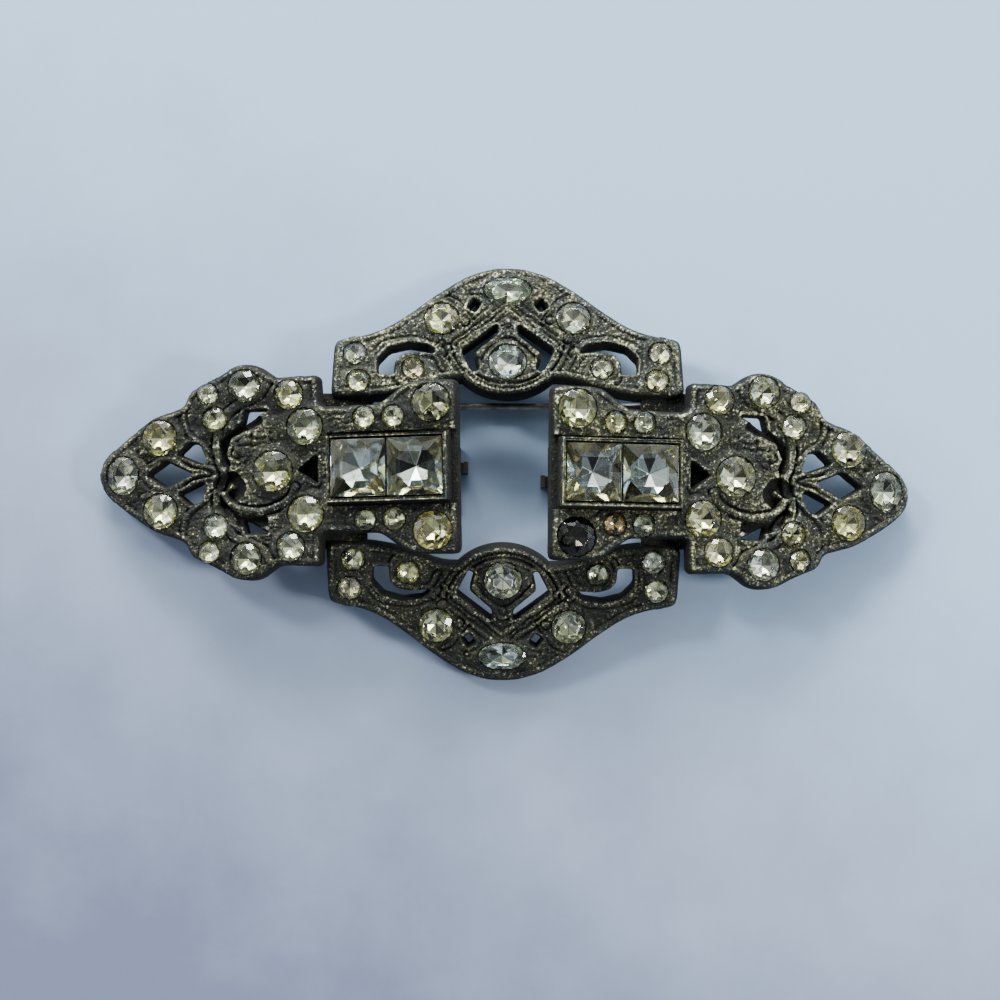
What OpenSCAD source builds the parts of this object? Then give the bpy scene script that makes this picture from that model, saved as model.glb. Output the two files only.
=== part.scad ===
// Double dress clip brooch: two pointed dress clips held side by side on one brooch frame.
// Cast white metal set with cut glass stones. Sizes are in millimetres.
// +X runs along the brooch to the right clip's tip, +Y to its top arch, +Z to the viewer.
// The origin is on the surface that the brooch lies on, under the middle of the frame.

/* [Arches of the frame] */
// Half length of an arch along the brooch
arch_half = 16.8; // [15.5:0.1:17]
// Rise of an arch up its own sloping face, from arm edge to crown
arch_rise = 13.4; // [12.5:0.1:16]
// Half of the space between the two arches' arms
arm_gap_half = 6.6; // [6.55:0.05:7.5]
// Thickness of the arch casting
arch_t = 1.6; // [1.4:0.05:1.9]
// Slope of each arch down from the arms to the crown, in degrees
arch_tilt = 16; // [14:0.5:18]
// Turn of the bottom arch, which was soldered on a little crooked, in degrees
bottom_turn = -0.6; // [-0.8:0.1:0.4]
// Half width of the rounded ornament that carries the arch's centre stone
almond_half = 6.1; // [5.6:0.1:6.4]
// How far the top arch sits to the right of the middle
top_shift = 0.3; // [0:0.05:0.3]
// Width of the raised edge on the arches
arch_rim_w = 0.6; // [0.4:0.05:0.8]

/* [Rails of the frame] */
// Width of each side rail, along the brooch
rail_w = 4.6; // [3:0.1:5]
// Thickness of the rails
rail_t = 1.1; // [0.8:0.05:1.3]
// How far a rail shows past the arms' ends
rail_out = 0.8; // [0.3:0.1:1]
// Gap between a rail and the clip's underside above it
rail_clear = 0.35; // [0.3:0.05:0.6]

/* [Clips] */
// Length of a clip along its own face
clip_l = 35.1; // [32:0.1:38]
// Gap between an arm's end and the clip's wing
arm_clear = 0.35; // [0.3:0.05:0.8]
// Half width of the block between the arms
block_half = 6; // [5.8:0.05:6.05]
// Half width of the block's flared inner end
flare_half = 8.2; // [8.1:0.05:8.6]
// Half width across the wings
wing_half = 10.3; // [9.8:0.1:11.5]
// Thickness of the clip casting
clip_t = 1.5; // [1.3:0.05:1.8]
// Slope of the clips down to their tips, in degrees
clip_tilt = 11; // [10:0.5:12]
// Height of the clips' underside at their inner ends
clip_z = 7.3; // [7.2:0.1:8]
// Half width of the window between the clips
window_half = 4.1; // [3.7:0.1:4.5]
// Width of the raised edge on the clips
clip_rim_w = 0.5; // [0.35:0.05:0.7]
// Height of the raised edges, ribs and stone cups
relief_h = 0.35; // [0.2:0.05:0.45]
// Width of the raised ribs
rib_w = 0.6; // [0.4:0.05:0.8]
// Turn of the left clip on its rail, in degrees
left_turn = -1.1; // [-1.2:0.1:0.4]
// Turn of the right clip on its rail, in degrees
right_turn = -0.5; // [-0.6:0.1:0.4]
// How far the right clip's tip is bent down from its block
right_bend = 1.4; // [0:0.1:2]
// How far the right clip's wings sit below its stones
right_low = 0.25; // [0:0.05:0.3]
// How far the left clip sits above the middle line
left_lift = 0.2; // [0:0.05:0.3]
// How far the right clip sits below the middle line
right_drop = 0.4; // [0:0.05:0.4]

/* [Square stone boxes] */
// Width of the open box for the two square stones
box_w = 6.4; // [6:0.1:6.5]
// Wall of the box
box_wall = 0.35; // [0.25:0.05:0.4]
// Height of the box above the casting
box_h = 1.6; // [1.2:0.1:2]
// Distance of the box from the clip's inner end
box_in = 0.7; // [0.7:0.05:1]
// Distance of the box from the wing
box_out = 1.05; // [0.9:0.05:1.2]
// Gap all round a square stone in the box
square_gap = 0.14; // [0.08:0.02:0.2]

/* [Stones] */
// Stone at the clip's tip, along the clip
tip_d = 3.2; // [2.6:0.1:3.4]
// Stone at the clip's tip, across the clip
tip_w = 3.7; // [3:0.1:4]
// Stones beside the point
point_d = 3.4; // [2.6:0.1:3.5]
// Large stones on the lobes
lobe_d = 3.1; // [2.4:0.1:3.2]
// Small stones on the lobes' corners
corner_d = 2.1; // [1.7:0.1:2.3]
// Stones beside the swirls
swirl_d = 2.4; // [2:0.1:2.5]
// Stones on the wings' inner ends
wing_d = 2.8; // [2.3:0.1:2.9]
// Stones between the box and the wing
rosette_d = 3.5; // [2.6:0.1:3.6]
// Stone in the middle of the swirls
centre_d = 3.9; // [2.8:0.1:4]
// Stones on the flared inner end
flare_d = 3.7; // [2.8:0.1:3.8]
// Small stones in the rows beside the box
row_d = 2.15; // [1.7:0.05:2.2]
// Stone in the middle of each arch
almond_d = 3.6; // [3:0.1:3.7]
// Length of the oval stone at each crown
oval_l = 4.6; // [4:0.1:5]
// Width of the oval stone at each crown
oval_w = 2.7; // [2.4:0.1:3.2]
// Stones on the arches' shoulders
shoulder_d = 3.3; // [2.4:0.1:3.4]
// Stones at the arms' ends
end_d = 2.25; // [1.8:0.05:2.3]
// Stones in the arches' scrolls
scroll_d = 2.2; // [1.8:0.05:2.3]
// Gap all round a stone in its cup
stone_gap = 0.07; // [0.04:0.01:0.1]
// Height of a stone above its cup
crown_h = 0.45; // [0.3:0.05:0.5]
// Floor of the casting left under a stone
cup_floor = 0.35; // [0.25:0.05:0.4]
// Wall of a cup round its stone
cup_wall = 0.3; // [0.2:0.05:0.35]

/* [Clip levers] */
// Width of the spring lever behind each clip
lever_w = 5; // [4:0.1:7]
// Thickness of the lever
lever_t = 0.8; // [0.6:0.05:1]
// Gap between the lever's lug and the rail
lug_clear = 0.45; // [0.3:0.05:0.8]
// Length of the lug that joins the lever to the clip
lug_l = 1.8; // [1.2:0.1:2.4]
// Width of the lever's bent-up tooth
tooth_w = 1.1; // [0.8:0.1:1.6]
// How far the tooth stands out into the window
tooth_out = 0.6; // [0.3:0.1:0.9]
// Thickness of the tooth
tooth_t = 0.4; // [0.3:0.05:0.6]
// Place of the left tooth above the middle line
left_tooth_y = 0.5; // [0:0.1:1]
// Place of the right tooth below the middle line
right_tooth_y = 0.8; // [0:0.1:1]
// Height of the tooth
tooth_h = 2.2; // [1.2:0.1:2.3]
// Gap between pieces that don't touch
piece_gap = 0.1; // [0.05:0.01:0.15]

/* [Brooch pin] */
// Thickness of the pin's stem
stem_d = 0.7; // [0.6:0.05:0.9]
// Height of the stem above the surface
stem_z = 1.6; // [1.5:0.05:1.7]
// Distance of the stem from the middle line
stem_y = 6.4; // [6:0.1:7]
// Diameter of the pin's knuckle
knuckle_d = 1.8; // [1.5:0.1:2]
// Width of the pin's knuckle
knuckle_w = 1.2; // [1:0.1:1.6]
// Diameter of the knuckle's trunnions
trunnion_d = 0.8; // [0.6:0.05:0.9]
// Thickness of the ears and of the catch
ear_t = 0.7; // [0.5:0.05:0.9]
// Running clearance of the trunnions and of the stem in the catch
pin_gap = 0.06; // [0.04:0.01:0.1]
// Length of the catch along the stem
catch_l = 1.4; // [1:0.1:2]
// Distance of the ears and of the catch from the rails' inner edges
ear_in = 0.1; // [0:0.05:0.3]

/* [Hidden] */
$fn = 48;
// Depth by which a raised form starts inside the casting that carries it
root = 0.4;
// Depth that is trimmed off the lowest edges, so that they rest flat
rest_land = 0.12;
// Length by which a rail runs under the arms, as a share of the arch's rise
rail_root = 0.06;
// Reach of a cutting block beyond what it trims
past = 60;
// Sides of a round stone's table, and of a square one's
ROUND_SIDES = 8;
SQUARE_SIDES = 4;
// Share of a stone's width that its table takes, and share that its back tapers to
TABLE_SHARE = 0.55;
// Depth of a round stone's back as a share of its width
BACK_SHARE = 0.36;

arch_z = arch_rise * sin(arch_tilt) - rest_land;
rail_end = arch_half + rail_out;
rail_z = clip_under(rail_end - window_half) - rail_clear - rail_t;
// Half length of the pin's stem, from one rail to the other
stem_half = rail_end - rail_w + ear_in + knuckle_d / 2;
// Length of the clip's block along its own face, from the window to past the arms' ends
block_l = (arch_half + arm_clear - window_half) / cos(clip_tilt);
box_l = block_l - box_in - box_out;
square_pitch = (box_l - 2 * box_wall) / 2;
square_l = square_pitch - square_gap;
square_w = box_w - 2 * box_wall - 2 * square_gap;

// Height of the clips' underside at a distance x out from the inner end, measured level
function clip_under(x) = clip_z - x * tan(clip_tilt);

// Crown side of an arch: [share of arch_half, share of arch_rise]
ARCH_CROWN = [
    [0, 1], [0.08, 0.995], [0.15, 0.97], [0.22, 0.94], [0.29, 0.89], [0.41, 0.79],
    [0.54, 0.66], [0.66, 0.555], [0.74, 0.505], [0.83, 0.47], [0.95, 0.445], [0.985, 0.41]
];
// Arm side of an arch, from the arm's end inward: [share of arch_half, share of arch_rise]
ARCH_ARM = [[1, 0], [0.74, 0], [0.6, 0.03], [0.46, 0.085], [0.34, 0.14]];

// Outer edge of a wing: [share from wing root to tip, share of wing_half]
WING_EDGE = [
    [0, 0.88], [0.19, 0.86], [0.23, 0.92], [0.27, 0.98], [0.32, 1], [0.38, 0.98],
    [0.43, 0.93], [0.48, 0.86], [0.59, 0.75], [0.61, 0.63], [0.74, 0.53], [0.85, 0.385],
    [0.93, 0.25], [0.975, 0.15], [1, 0.05]
];
// Edge of the block's flare: [share of block_l, share from block_half to flare_half]
FLARE_EDGE = [[0, 0.85], [0.03, 1], [0.36, 0.95], [0.55, 0.1], [0.6, 0]];

// A station is a place along a clip: 0 is its inner end, 1 the root of its wing, 2 its tip.
// Half widths are block_half up to station 1 and wing_half from there on.
// Stones of a clip that are nodes of their own:
// [name, station, share of the half width, size along, size across]
CLIP_MAIN = [
    ["tip_stone", 1.885, 0, tip_d, tip_w],
    ["upper_point_stone", 1.715, 0.34, point_d, point_d],
    ["lower_point_stone", 1.715, -0.34, point_d, point_d],
    ["upper_lobe_stone", 1.33, 0.795, lobe_d, lobe_d],
    ["lower_lobe_stone", 1.33, -0.795, lobe_d, lobe_d],
    ["upper_rosette_stone", 1.06, 0.4, rosette_d, rosette_d],
    ["lower_rosette_stone", 1.06, -0.4, rosette_d, rosette_d],
    ["centre_stone", 1.205, 0, centre_d, centre_d],
    ["upper_flare_stone", 0.18, 1, flare_d, flare_d],
    ["lower_flare_stone", 0.18, -1, flare_d, flare_d]
];
// Small stones of a clip: [station, share of the half width, size along, size across]
CLIP_SMALL = [
    [1.495, 0.73, corner_d, corner_d],
    [1.495, -0.73, corner_d, corner_d],
    [1.465, 0.495, swirl_d, swirl_d],
    [1.465, -0.495, swirl_d, swirl_d],
    [1.13, 0.7, wing_d, wing_d],
    [1.13, -0.7, wing_d, wing_d],
    [0.455, 0.8, row_d, row_d],
    [0.455, -0.8, row_d, row_d],
    [0.665, 0.8, row_d, row_d],
    [0.665, -0.8, row_d, row_d]
];
// Main stones of an arch: [name, share of arch_half, share of arch_rise, along, across]
ARCH_MAIN = [
    ["oval_stone", 0, 0.81, oval_l, oval_w],
    ["centre_stone", 0, 0.255, almond_d, almond_d],
    ["left_shoulder_stone", -0.375, 0.59, shoulder_d, shoulder_d],
    ["right_shoulder_stone", 0.375, 0.59, shoulder_d, shoulder_d]
];
// Small stones of half an arch: [share of arch_half, share of arch_rise, along, across]
ARCH_SMALL = [
    [0.865, 0.32, end_d, end_d],
    [0.845, 0.11, end_d, end_d],
    [0.535, 0.205, scroll_d, scroll_d]
];
ARCH_SMALL_BOTH = [for (side = [-1, 1], s = ARCH_SMALL) [side * s[0], s[1], s[2], s[3]]];

// Gaps cut through a wing, upper side: lists of [station, share of wing_half]
WING_GAPS = [
    [[1.635, 0.185], [1.58, 0.285], [1.54, 0.265], [1.51, 0.13], [1.525, 0.085]],
    [[1.33, 0.565], [1.23, 0.565], [1.345, 0.44]]
];
// Gap in the middle of the point, and the one between box and centre stone
POINT_GAP = [[1.775, 0], [1.69, 0.12], [1.575, 0], [1.69, -0.12]];
BOX_GAP = [[1.01, 0.125], [1.01, -0.125], [1.09, 0]];
// Curled rim round the centre stone, between two circles:
// [station, share of wing_half, radius as a share of wing_half]
SWIRL_OUT = [1.29, 0.19, 0.34];
SWIRL_IN = [1.255, 0.135, 0.285];
// Raised ribs of a wing, upper side: [station, share of wing_half] of both ends
WING_RIBS = [
    [[1.5, 0.02], [1.7, 0.19]],
    [[1.5, 0.05], [1.6, 0.6]],
    [[1.2, 0.5], [1.2, 0.86]]
];

// Chevron gap beside an arch's centre stone: [share of arch_half, share of arch_rise]
CHEVRON_GAP = [
    [0.06, 0.545], [0.262, 0.35], [0.195, 0.19], [0.165, 0.21], [0.19, 0.33], [0.06, 0.47]
];
// Raised chevron over the centre stone: [share of arch_half, share of arch_rise]
CHEVRON_RIDGE = [[0, 0.72], [0.345, 0.4], [0.315, 0.36], [0, 0.65]];
// Slot beside an arch's crown stone, and its size as shares of arch_rise
CROWN_SLOT = [0.19, 0.7];
SLOT_SIZE = [0.06, 0.075];
SLOT_TURN = 35;
// Comma gap round an arch's scroll stone: [share of arch_half, share of arch_rise]
COMMA_GAP = [
    [0.73, 0.17], [0.735, 0.28], [0.67, 0.37], [0.56, 0.405], [0.45, 0.385], [0.41, 0.335],
    [0.5, 0.345], [0.59, 0.33], [0.64, 0.28], [0.645, 0.17]
];

function names(prefix, table) = [for (s = table) str(prefix, s[0])];

SIDES = [["left_", -1], ["right_", 1]];
ARCHES = [["top_", 1], ["bottom_", -1]];
SQUARES = [["inner_square_stone", 0], ["outer_square_stone", 1]];

// Each clip's own turn, bend, uneven edge and height above the middle line
function turn_of(side) = side < 0 ? left_turn : right_turn;
function bend_of(side) = side < 0 ? 0 : right_bend;
function low_of(side) = side < 0 ? 0 : right_low;
function lift_of(side) = side < 0 ? left_lift : -right_drop;

// A point of the clip's face from its station and its share of the half width
function on_clip(u, v) =
    u <= 1 ? [u * block_l, v * block_half] : [block_l + (u - 1) * (clip_l - block_l), v * wing_half];

// The same point after the wing has bent, more and more towards its tip
function bent(p, side) =
    let (along = max(0, (p.x - block_l) / (clip_l - block_l)))
    [p.x, p.y - bend_of(side) * along * along];

function on_arch(s, t) = [s * arch_half, t * arch_rise];

// Moves a form from a clip's own face to its place on the brooch
module place_clip(side) {
    translate([side * window_half, lift_of(side), clip_z])
        mirror([side < 0 ? 1 : 0, 0, 0])
            rotate([0, 0, turn_of(side)])
                rotate([0, clip_tilt, 0])
                    children();
}

// Moves a form from an arch's own face to its place on the brooch
module place_arch(end) {
    rotate([0, 0, end < 0 ? bottom_turn : 0])
        mirror([0, end < 0 ? 1 : 0, 0])
            translate([end < 0 ? 0 : top_shift, arm_gap_half, arch_z])
                rotate([-arch_tilt, 0, 0])
                    children();
}

// Draws a form and its mirror image across the Y axis
module left_and_right() {
    children();
    mirror([1, 0, 0])
        children();
}

// Outline of a stone or of its cup
module stone_outline(along, across, grow) {
    scale([(along + 2 * grow) / (across + 2 * grow), 1])
        circle(d = across + 2 * grow);
}

// Point of a stone's widest line at an angle, for a round, oval or square stone
function girdle_point(along, across, sides, a) =
    let (reach = sides == SQUARE_SIDES ? max(abs(cos(a)), abs(sin(a))) : 1)
    [along / 2 * cos(a) / reach, across / 2 * sin(a) / reach, 0];

// A cut stone: table, a ring of crown facets and a ring of back facets down to a small flat
module cut_stone(along, across, sides, back) {
    step = 180 / sides;
    first = sides == SQUARE_SIDES ? 45 : step;
    rim = 2 * sides;
    girdle = [for (i = [0 : rim - 1]) girdle_point(along, across, sides, first + i * step)];
    table = [for (i = [0 : sides - 1]) [
        girdle[2 * i].x * TABLE_SHARE, girdle[2 * i].y * TABLE_SHARE, crown_h
    ]];
    culet = [[0, 0, -back]];
    points = concat(girdle, table, culet);
    faces = concat(
        [[for (i = [sides - 1 : -1 : 0]) rim + i]],
        [for (i = [0 : sides - 1]) [rim + i, rim + (i + 1) % sides, (2 * i + 1) % rim]],
        [for (i = [0 : sides - 1]) [rim + i, (2 * i + 1) % rim, 2 * i]],
        [for (i = [0 : sides - 1]) [rim + i, 2 * i, (2 * i + rim - 1) % rim]],
        [for (i = [0 : rim - 1]) [i, (i + 1) % rim, rim + sides]]
    );
    polyhedron(points = points, faces = faces);
}

// A round or oval stone in its cup, on a casting of the given thickness
module cup_stone(along, across, casting_t) {
    depth = casting_t + relief_h - cup_floor - stone_gap;
    color("lightyellow")
        translate([0, 0, casting_t + relief_h])
            cut_stone(along, across, ROUND_SIDES, min(BACK_SHARE * across, depth));
}

// Upper edge of the block from its inner end to the wing
module block_outline() {
    edge = [for (p = FLARE_EDGE)
        [p[0] * block_l, block_half + p[1] * (flare_half - block_half)]];
    last = [[block_l + root, block_half]];
    half = concat(edge, last);
    lower = [for (i = [len(half) - 1 : -1 : 0]) [half[i].x, -half[i].y]];
    polygon(concat(half, lower));
}

// Outline of the two wings and the point
module wing_outline(side) {
    reach = clip_l - block_l;
    low = low_of(side);
    upper = [for (p = WING_EDGE) [block_l + p[0] * reach, p[1] * wing_half - low]];
    lower = [for (i = [len(WING_EDGE) - 1 : -1 : 0])
        [upper[i].x, -upper[i].y - 2 * low]];
    polygon([for (p = concat(upper, lower)) bent(p, side)]);
}

module clip_outline(side) {
    block_outline();
    wing_outline(side);
}

// A shape cut from the wing, on the upper half or mirrored to the lower one
module wing_polygon(table, side, half) {
    polygon([for (p = table) bent(on_clip(p[0], half * p[1]), side)]);
}

// Everything that is pierced through a clip
module clip_gaps(side) {
    for (half = [-1, 1], gap = WING_GAPS)
        wing_polygon(gap, side, half);
    wing_polygon(POINT_GAP, side, 1);
    wing_polygon(BOX_GAP, side, 1);
}

// Curled rim of one swirl, on the upper half or mirrored to the lower one
module swirl_rim(side, half) {
    difference() {
        translate(bent(on_clip(SWIRL_OUT[0], half * SWIRL_OUT[1]), side))
            circle(r = SWIRL_OUT[2] * wing_half);
        translate(bent(on_clip(SWIRL_IN[0], half * SWIRL_IN[1]), side))
            circle(r = SWIRL_IN[2] * wing_half);
    }
}

// A straight raised rib, on the upper half or mirrored to the lower one
module wing_rib(rib, side, half) {
    from = bent(on_clip(rib[0][0], half * rib[0][1]), side);
    to = bent(on_clip(rib[1][0], half * rib[1][1]), side);
    translate(from)
        rotate(atan2(to.y - from.y, to.x - from.x))
            translate([0, -rib_w / 2])
                square([norm(to - from), rib_w]);
}

// Stone cups of a clip, or the holes in them with a negative growth of the wall
module clip_cups(side, grow) {
    for (s = CLIP_MAIN)
        translate(bent(on_clip(s[1], s[2]), side))
            stone_outline(s[3], s[4], grow);
    for (s = CLIP_SMALL)
        translate(bent(on_clip(s[0], s[1]), side))
            stone_outline(s[2], s[3], grow);
}

// Raised edge, swirls and cups, as one flat form
module clip_relief(side) {
    intersection() {
        clip_outline(side);
        union() {
            difference() {
                clip_outline(side);
                offset(delta = -clip_rim_w)
                    clip_outline(side);
            }
            for (half = [-1, 1]) {
                swirl_rim(side, half);
                for (rib = WING_RIBS)
                    wing_rib(rib, side, half);
            }
            clip_cups(side, cup_wall + stone_gap);
        }
    }
}

// Casting of one clip with its box, its cups and its pierced gaps
module clip_casting(side) {
    color("slategray")
        place_clip(side)
            difference() {
                union() {
                    linear_extrude(clip_t)
                        clip_outline(side);
                    translate([0, 0, clip_t - root])
                        linear_extrude(root + relief_h)
                            clip_relief(side);
                    translate([box_in, -box_w / 2, clip_t - root])
                        cube([box_l, box_w, root + box_h]);
                }
                translate([0, 0, -root])
                    linear_extrude(clip_t + relief_h + 2 * root)
                        clip_gaps(side);
                translate([0, 0, cup_floor])
                    linear_extrude(clip_t + relief_h)
                        clip_cups(side, stone_gap);
                translate([box_in + box_wall, box_wall - box_w / 2, clip_t])
                    cube([box_l - 2 * box_wall, box_w - 2 * box_wall, box_h + root]);
            }
}

// One of a clip's main round stones, found by its row in the table
module clip_stone(side, s) {
    place_clip(side)
        translate(bent(on_clip(s[1], s[2]), side))
            cup_stone(s[3], s[4], clip_t);
}

// Square stone in the inner or outer half of the box
module square_stone(side, place) {
    color("aliceblue")
        place_clip(side)
            translate([box_in + box_wall + (place + 0.5) * square_pitch, 0, clip_t + box_h])
                cut_stone(square_l, square_w, SQUARE_SIDES, box_h - square_gap);
}

module clip_small_stones(side) {
    place_clip(side)
        for (s = CLIP_SMALL)
            translate(bent(on_clip(s[0], s[1]), side))
                cup_stone(s[2], s[3], clip_t);
}

// Spring lever behind a clip: a flat strip, a tooth at its free end and a lug at its root
module clip_lever(side) {
    strip_x = window_half + piece_gap;
    lug_x = rail_end + lug_clear;
    tooth_y = side < 0 ? left_tooth_y : -right_tooth_y;
    color("dimgray")
        mirror([side < 0 ? 1 : 0, 0, 0]) {
            translate([strip_x, -lever_w / 2, 0])
                cube([lug_x + lug_l - strip_x, lever_w, lever_t]);
            translate([window_half - tooth_out, tooth_y - tooth_w / 2, 0])
                cube([strip_x - window_half + tooth_out + root, tooth_w, lever_t]);
            translate([window_half - tooth_out, tooth_y - tooth_w / 2, 0])
                cube([tooth_t, tooth_w, tooth_h]);
            difference() {
                translate([lug_x, -lever_w / 2, 0])
                    cube([lug_l, lever_w, clip_z]);
                translate([window_half, 0, clip_z])
                    rotate([0, clip_tilt, 0])
                        translate([0, -past / 2, -piece_gap])
                            cube([past, past, past]);
            }
        }
}

// Outline of an arch with its rounded ornament
module arch_outline() {
    right = [for (p = ARCH_CROWN) on_arch(p[0], p[1])];
    arm = [for (p = ARCH_ARM) on_arch(p[0], p[1])];
    half = concat(right, arm);
    left = [for (i = [len(half) - 1 : -1 : 1]) [-half[i].x, half[i].y]];
    polygon(concat(half, left));
    translate([0, almond_half + piece_gap])
        circle(r = almond_half);
}

// Everything that is pierced through an arch
module arch_gaps() {
    left_and_right() {
        for (gap = [CHEVRON_GAP, COMMA_GAP])
            polygon([for (p = gap) on_arch(p[0], p[1])]);
        translate(on_arch(CROWN_SLOT.x, CROWN_SLOT.y))
            rotate(SLOT_TURN)
                square(arch_rise * SLOT_SIZE, center = true);
    }
}

module arch_cups(grow) {
    for (s = ARCH_MAIN)
        translate(on_arch(s[1], s[2]))
            stone_outline(s[3], s[4], grow);
    for (s = ARCH_SMALL_BOTH)
        translate(on_arch(s[0], s[1]))
            stone_outline(s[2], s[3], grow);
}

// Raised edge and cups of an arch, as one flat form
module arch_relief() {
    difference() {
        arch_outline();
        offset(delta = -arch_rim_w)
            arch_outline();
    }
    intersection() {
        arch_outline();
        union() {
            arch_cups(cup_wall + stone_gap);
            left_and_right()
                polygon([for (p = CHEVRON_RIDGE) on_arch(p[0], p[1])]);
        }
    }
}

// Casting of one arch
module arch_casting() {
    difference() {
        union() {
            linear_extrude(arch_t)
                arch_outline();
            translate([0, 0, arch_t - root])
                linear_extrude(root + relief_h)
                    arch_relief();
        }
        translate([0, 0, -root])
            linear_extrude(arch_t + relief_h + 2 * root)
                arch_gaps();
        translate([0, 0, cup_floor])
            linear_extrude(arch_t + relief_h)
                arch_cups(stone_gap);
    }
}

// Side rail that joins the two arches and carries a clip
module side_rail(side) {
    reach = arm_gap_half + rail_root * arch_rise;
    translate([side > 0 ? rail_end - rail_w : -rail_end, -reach, rail_z])
        cube([rail_w, 2 * reach, rail_t]);
}

// Two ears under the right rail, bored for the pin's trunnions
module pin_ears() {
    for (end = [-1, 1])
        translate([stem_half, stem_y + end * (knuckle_w / 2 + piece_gap + ear_t / 2), 0])
            difference() {
                translate([-knuckle_d / 2, -ear_t / 2, stem_z - knuckle_d / 2])
                    cube([knuckle_d, ear_t, rail_z + root - stem_z + knuckle_d / 2]);
                translate([0, 0, stem_z])
                    rotate([90, 0, 0])
                        cylinder(d = trunnion_d + 2 * pin_gap, h = 2 * ear_t, center = true);
            }
}

// Hook under the left rail that holds the pin's point
module pin_catch() {
    bore = stem_d + 2 * pin_gap;
    outer = bore + 2 * ear_t;
    translate([-stem_half, stem_y, stem_z])
        rotate([90, 0, 90])
            linear_extrude(catch_l)
                difference() {
                    union() {
                        circle(d = outer);
                        square([outer / 2, rail_z + root - stem_z]);
                    }
                    circle(d = bore);
                    translate([-outer, -bore / 2])
                        square([outer, bore]);
                }
}

// The brooch frame: two arches, two rails, ears and catch, all soldered into one
module brooch_frame() {
    color("gray")
        difference() {
            union() {
                for (a = ARCHES)
                    place_arch(a[1])
                        arch_casting();
                for (s = SIDES)
                    side_rail(s[1]);
                pin_ears();
                pin_catch();
            }
            translate([-past / 2, -past / 2, -past])
                cube([past, past, past]);
        }
}

// The pin: a knuckle with two trunnions and a tapered stem
module brooch_pin() {
    color("silver")
        translate([0, stem_y, stem_z]) {
            translate([stem_half, 0, 0])
                rotate([90, 0, 0]) {
                    cylinder(d = knuckle_d, h = knuckle_w, center = true);
                    cylinder(
                        d = trunnion_d, h = knuckle_w + 2 * ear_t + 2 * piece_gap, center = true
                    );
                }
            translate([-stem_half - ear_t, 0, 0])
                rotate([0, 90, 0])
                    cylinder(d = stem_d, h = 2 * stem_half + ear_t);
        }
}

module arch_stone(end, s) {
    place_arch(end)
        translate(on_arch(s[1], s[2]))
            cup_stone(s[3], s[4], arch_t);
}

module frame_small_stones() {
    for (a = ARCHES)
        place_arch(a[1])
            for (s = ARCH_SMALL_BOTH)
                translate(on_arch(s[0], s[1]))
                    cup_stone(s[2], s[3], arch_t);
}

brooch_frame();
brooch_pin();
clip_casting(-1);  // left_clip
clip_casting(1);  // right_clip
clip_lever(-1);  // left_clip_lever
clip_lever(1);  // right_clip_lever
clip_small_stones(-1);  // left_small_stones
clip_small_stones(1);  // right_small_stones
frame_small_stones();
for (side = SIDES) {
    for (s = CLIP_MAIN)
        clip_stone(side[1], s);
    for (s = SQUARES)
        square_stone(side[1], s[1]);
}
for (end = ARCHES)
    for (s = ARCH_MAIN)
        arch_stone(end[1], s);
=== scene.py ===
"""Looks of the double dress clip brooch: worn castings, millegrain, foiled glass stones, pale paper.

Lengths are millimetres in each casting's own frame (u along, v across, w up from its back)
and metres in the scene. The castings' places, outlines and gaps follow the CAD model.
"""

import math

import bmesh
import bpy
import numpy as np
from mathutils import Matrix, Vector


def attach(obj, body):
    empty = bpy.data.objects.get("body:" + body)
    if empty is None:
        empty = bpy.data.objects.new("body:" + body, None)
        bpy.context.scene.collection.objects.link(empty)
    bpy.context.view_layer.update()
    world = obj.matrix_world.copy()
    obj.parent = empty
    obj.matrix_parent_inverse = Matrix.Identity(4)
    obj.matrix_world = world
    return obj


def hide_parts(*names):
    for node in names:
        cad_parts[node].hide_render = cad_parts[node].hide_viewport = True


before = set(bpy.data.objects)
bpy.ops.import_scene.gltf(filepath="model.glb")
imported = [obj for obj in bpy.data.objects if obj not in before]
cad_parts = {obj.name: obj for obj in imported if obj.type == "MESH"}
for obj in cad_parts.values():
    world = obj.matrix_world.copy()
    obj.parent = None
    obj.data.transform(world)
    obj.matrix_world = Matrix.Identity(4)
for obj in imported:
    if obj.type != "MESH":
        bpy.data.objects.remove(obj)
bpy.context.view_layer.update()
MM = 0.001
CELL = 0.095
RNG = np.random.default_rng(11)
TINY = 1e-9

# Arches of the frame
ARCH_HALF, ARCH_RISE, ARM_GAP_HALF = 16.8, 13.4, 6.6
ARCH_T, ARCH_TILT, BOTTOM_TURN, TOP_SHIFT = 1.6, 16.0, -0.6, 0.3
ALMOND_HALF, REST_LAND = 6.1, 0.12
ARCH_Z = ARCH_RISE * math.sin(math.radians(ARCH_TILT)) - REST_LAND

# Rails, ears and catch
RAIL_W, RAIL_T, RAIL_OUT, RAIL_CLEAR, RAIL_ROOT = 4.6, 1.1, 0.8, 0.35, 0.06
STEM_D, STEM_Z, STEM_Y, CATCH_L, EAR_IN = 0.7, 1.6, 6.4, 1.4, 0.1
KNUCKLE_D, KNUCKLE_W, TRUNNION_D, EAR_T, PIN_GAP, PIECE_GAP = 1.8, 1.2, 0.8, 0.7, 0.06, 0.1
STEM_HALF = ARCH_HALF + RAIL_OUT - RAIL_W + EAR_IN + KNUCKLE_D / 2
# How far ears and catch reach into the rail, the hook's ends in degrees, and an ear's steps
ROOT, HOOK_IN, HOOK_OUT, EAR_STEPS, RAIL_BEVEL = 0.3, 150, 158, 32, 0.1

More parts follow.
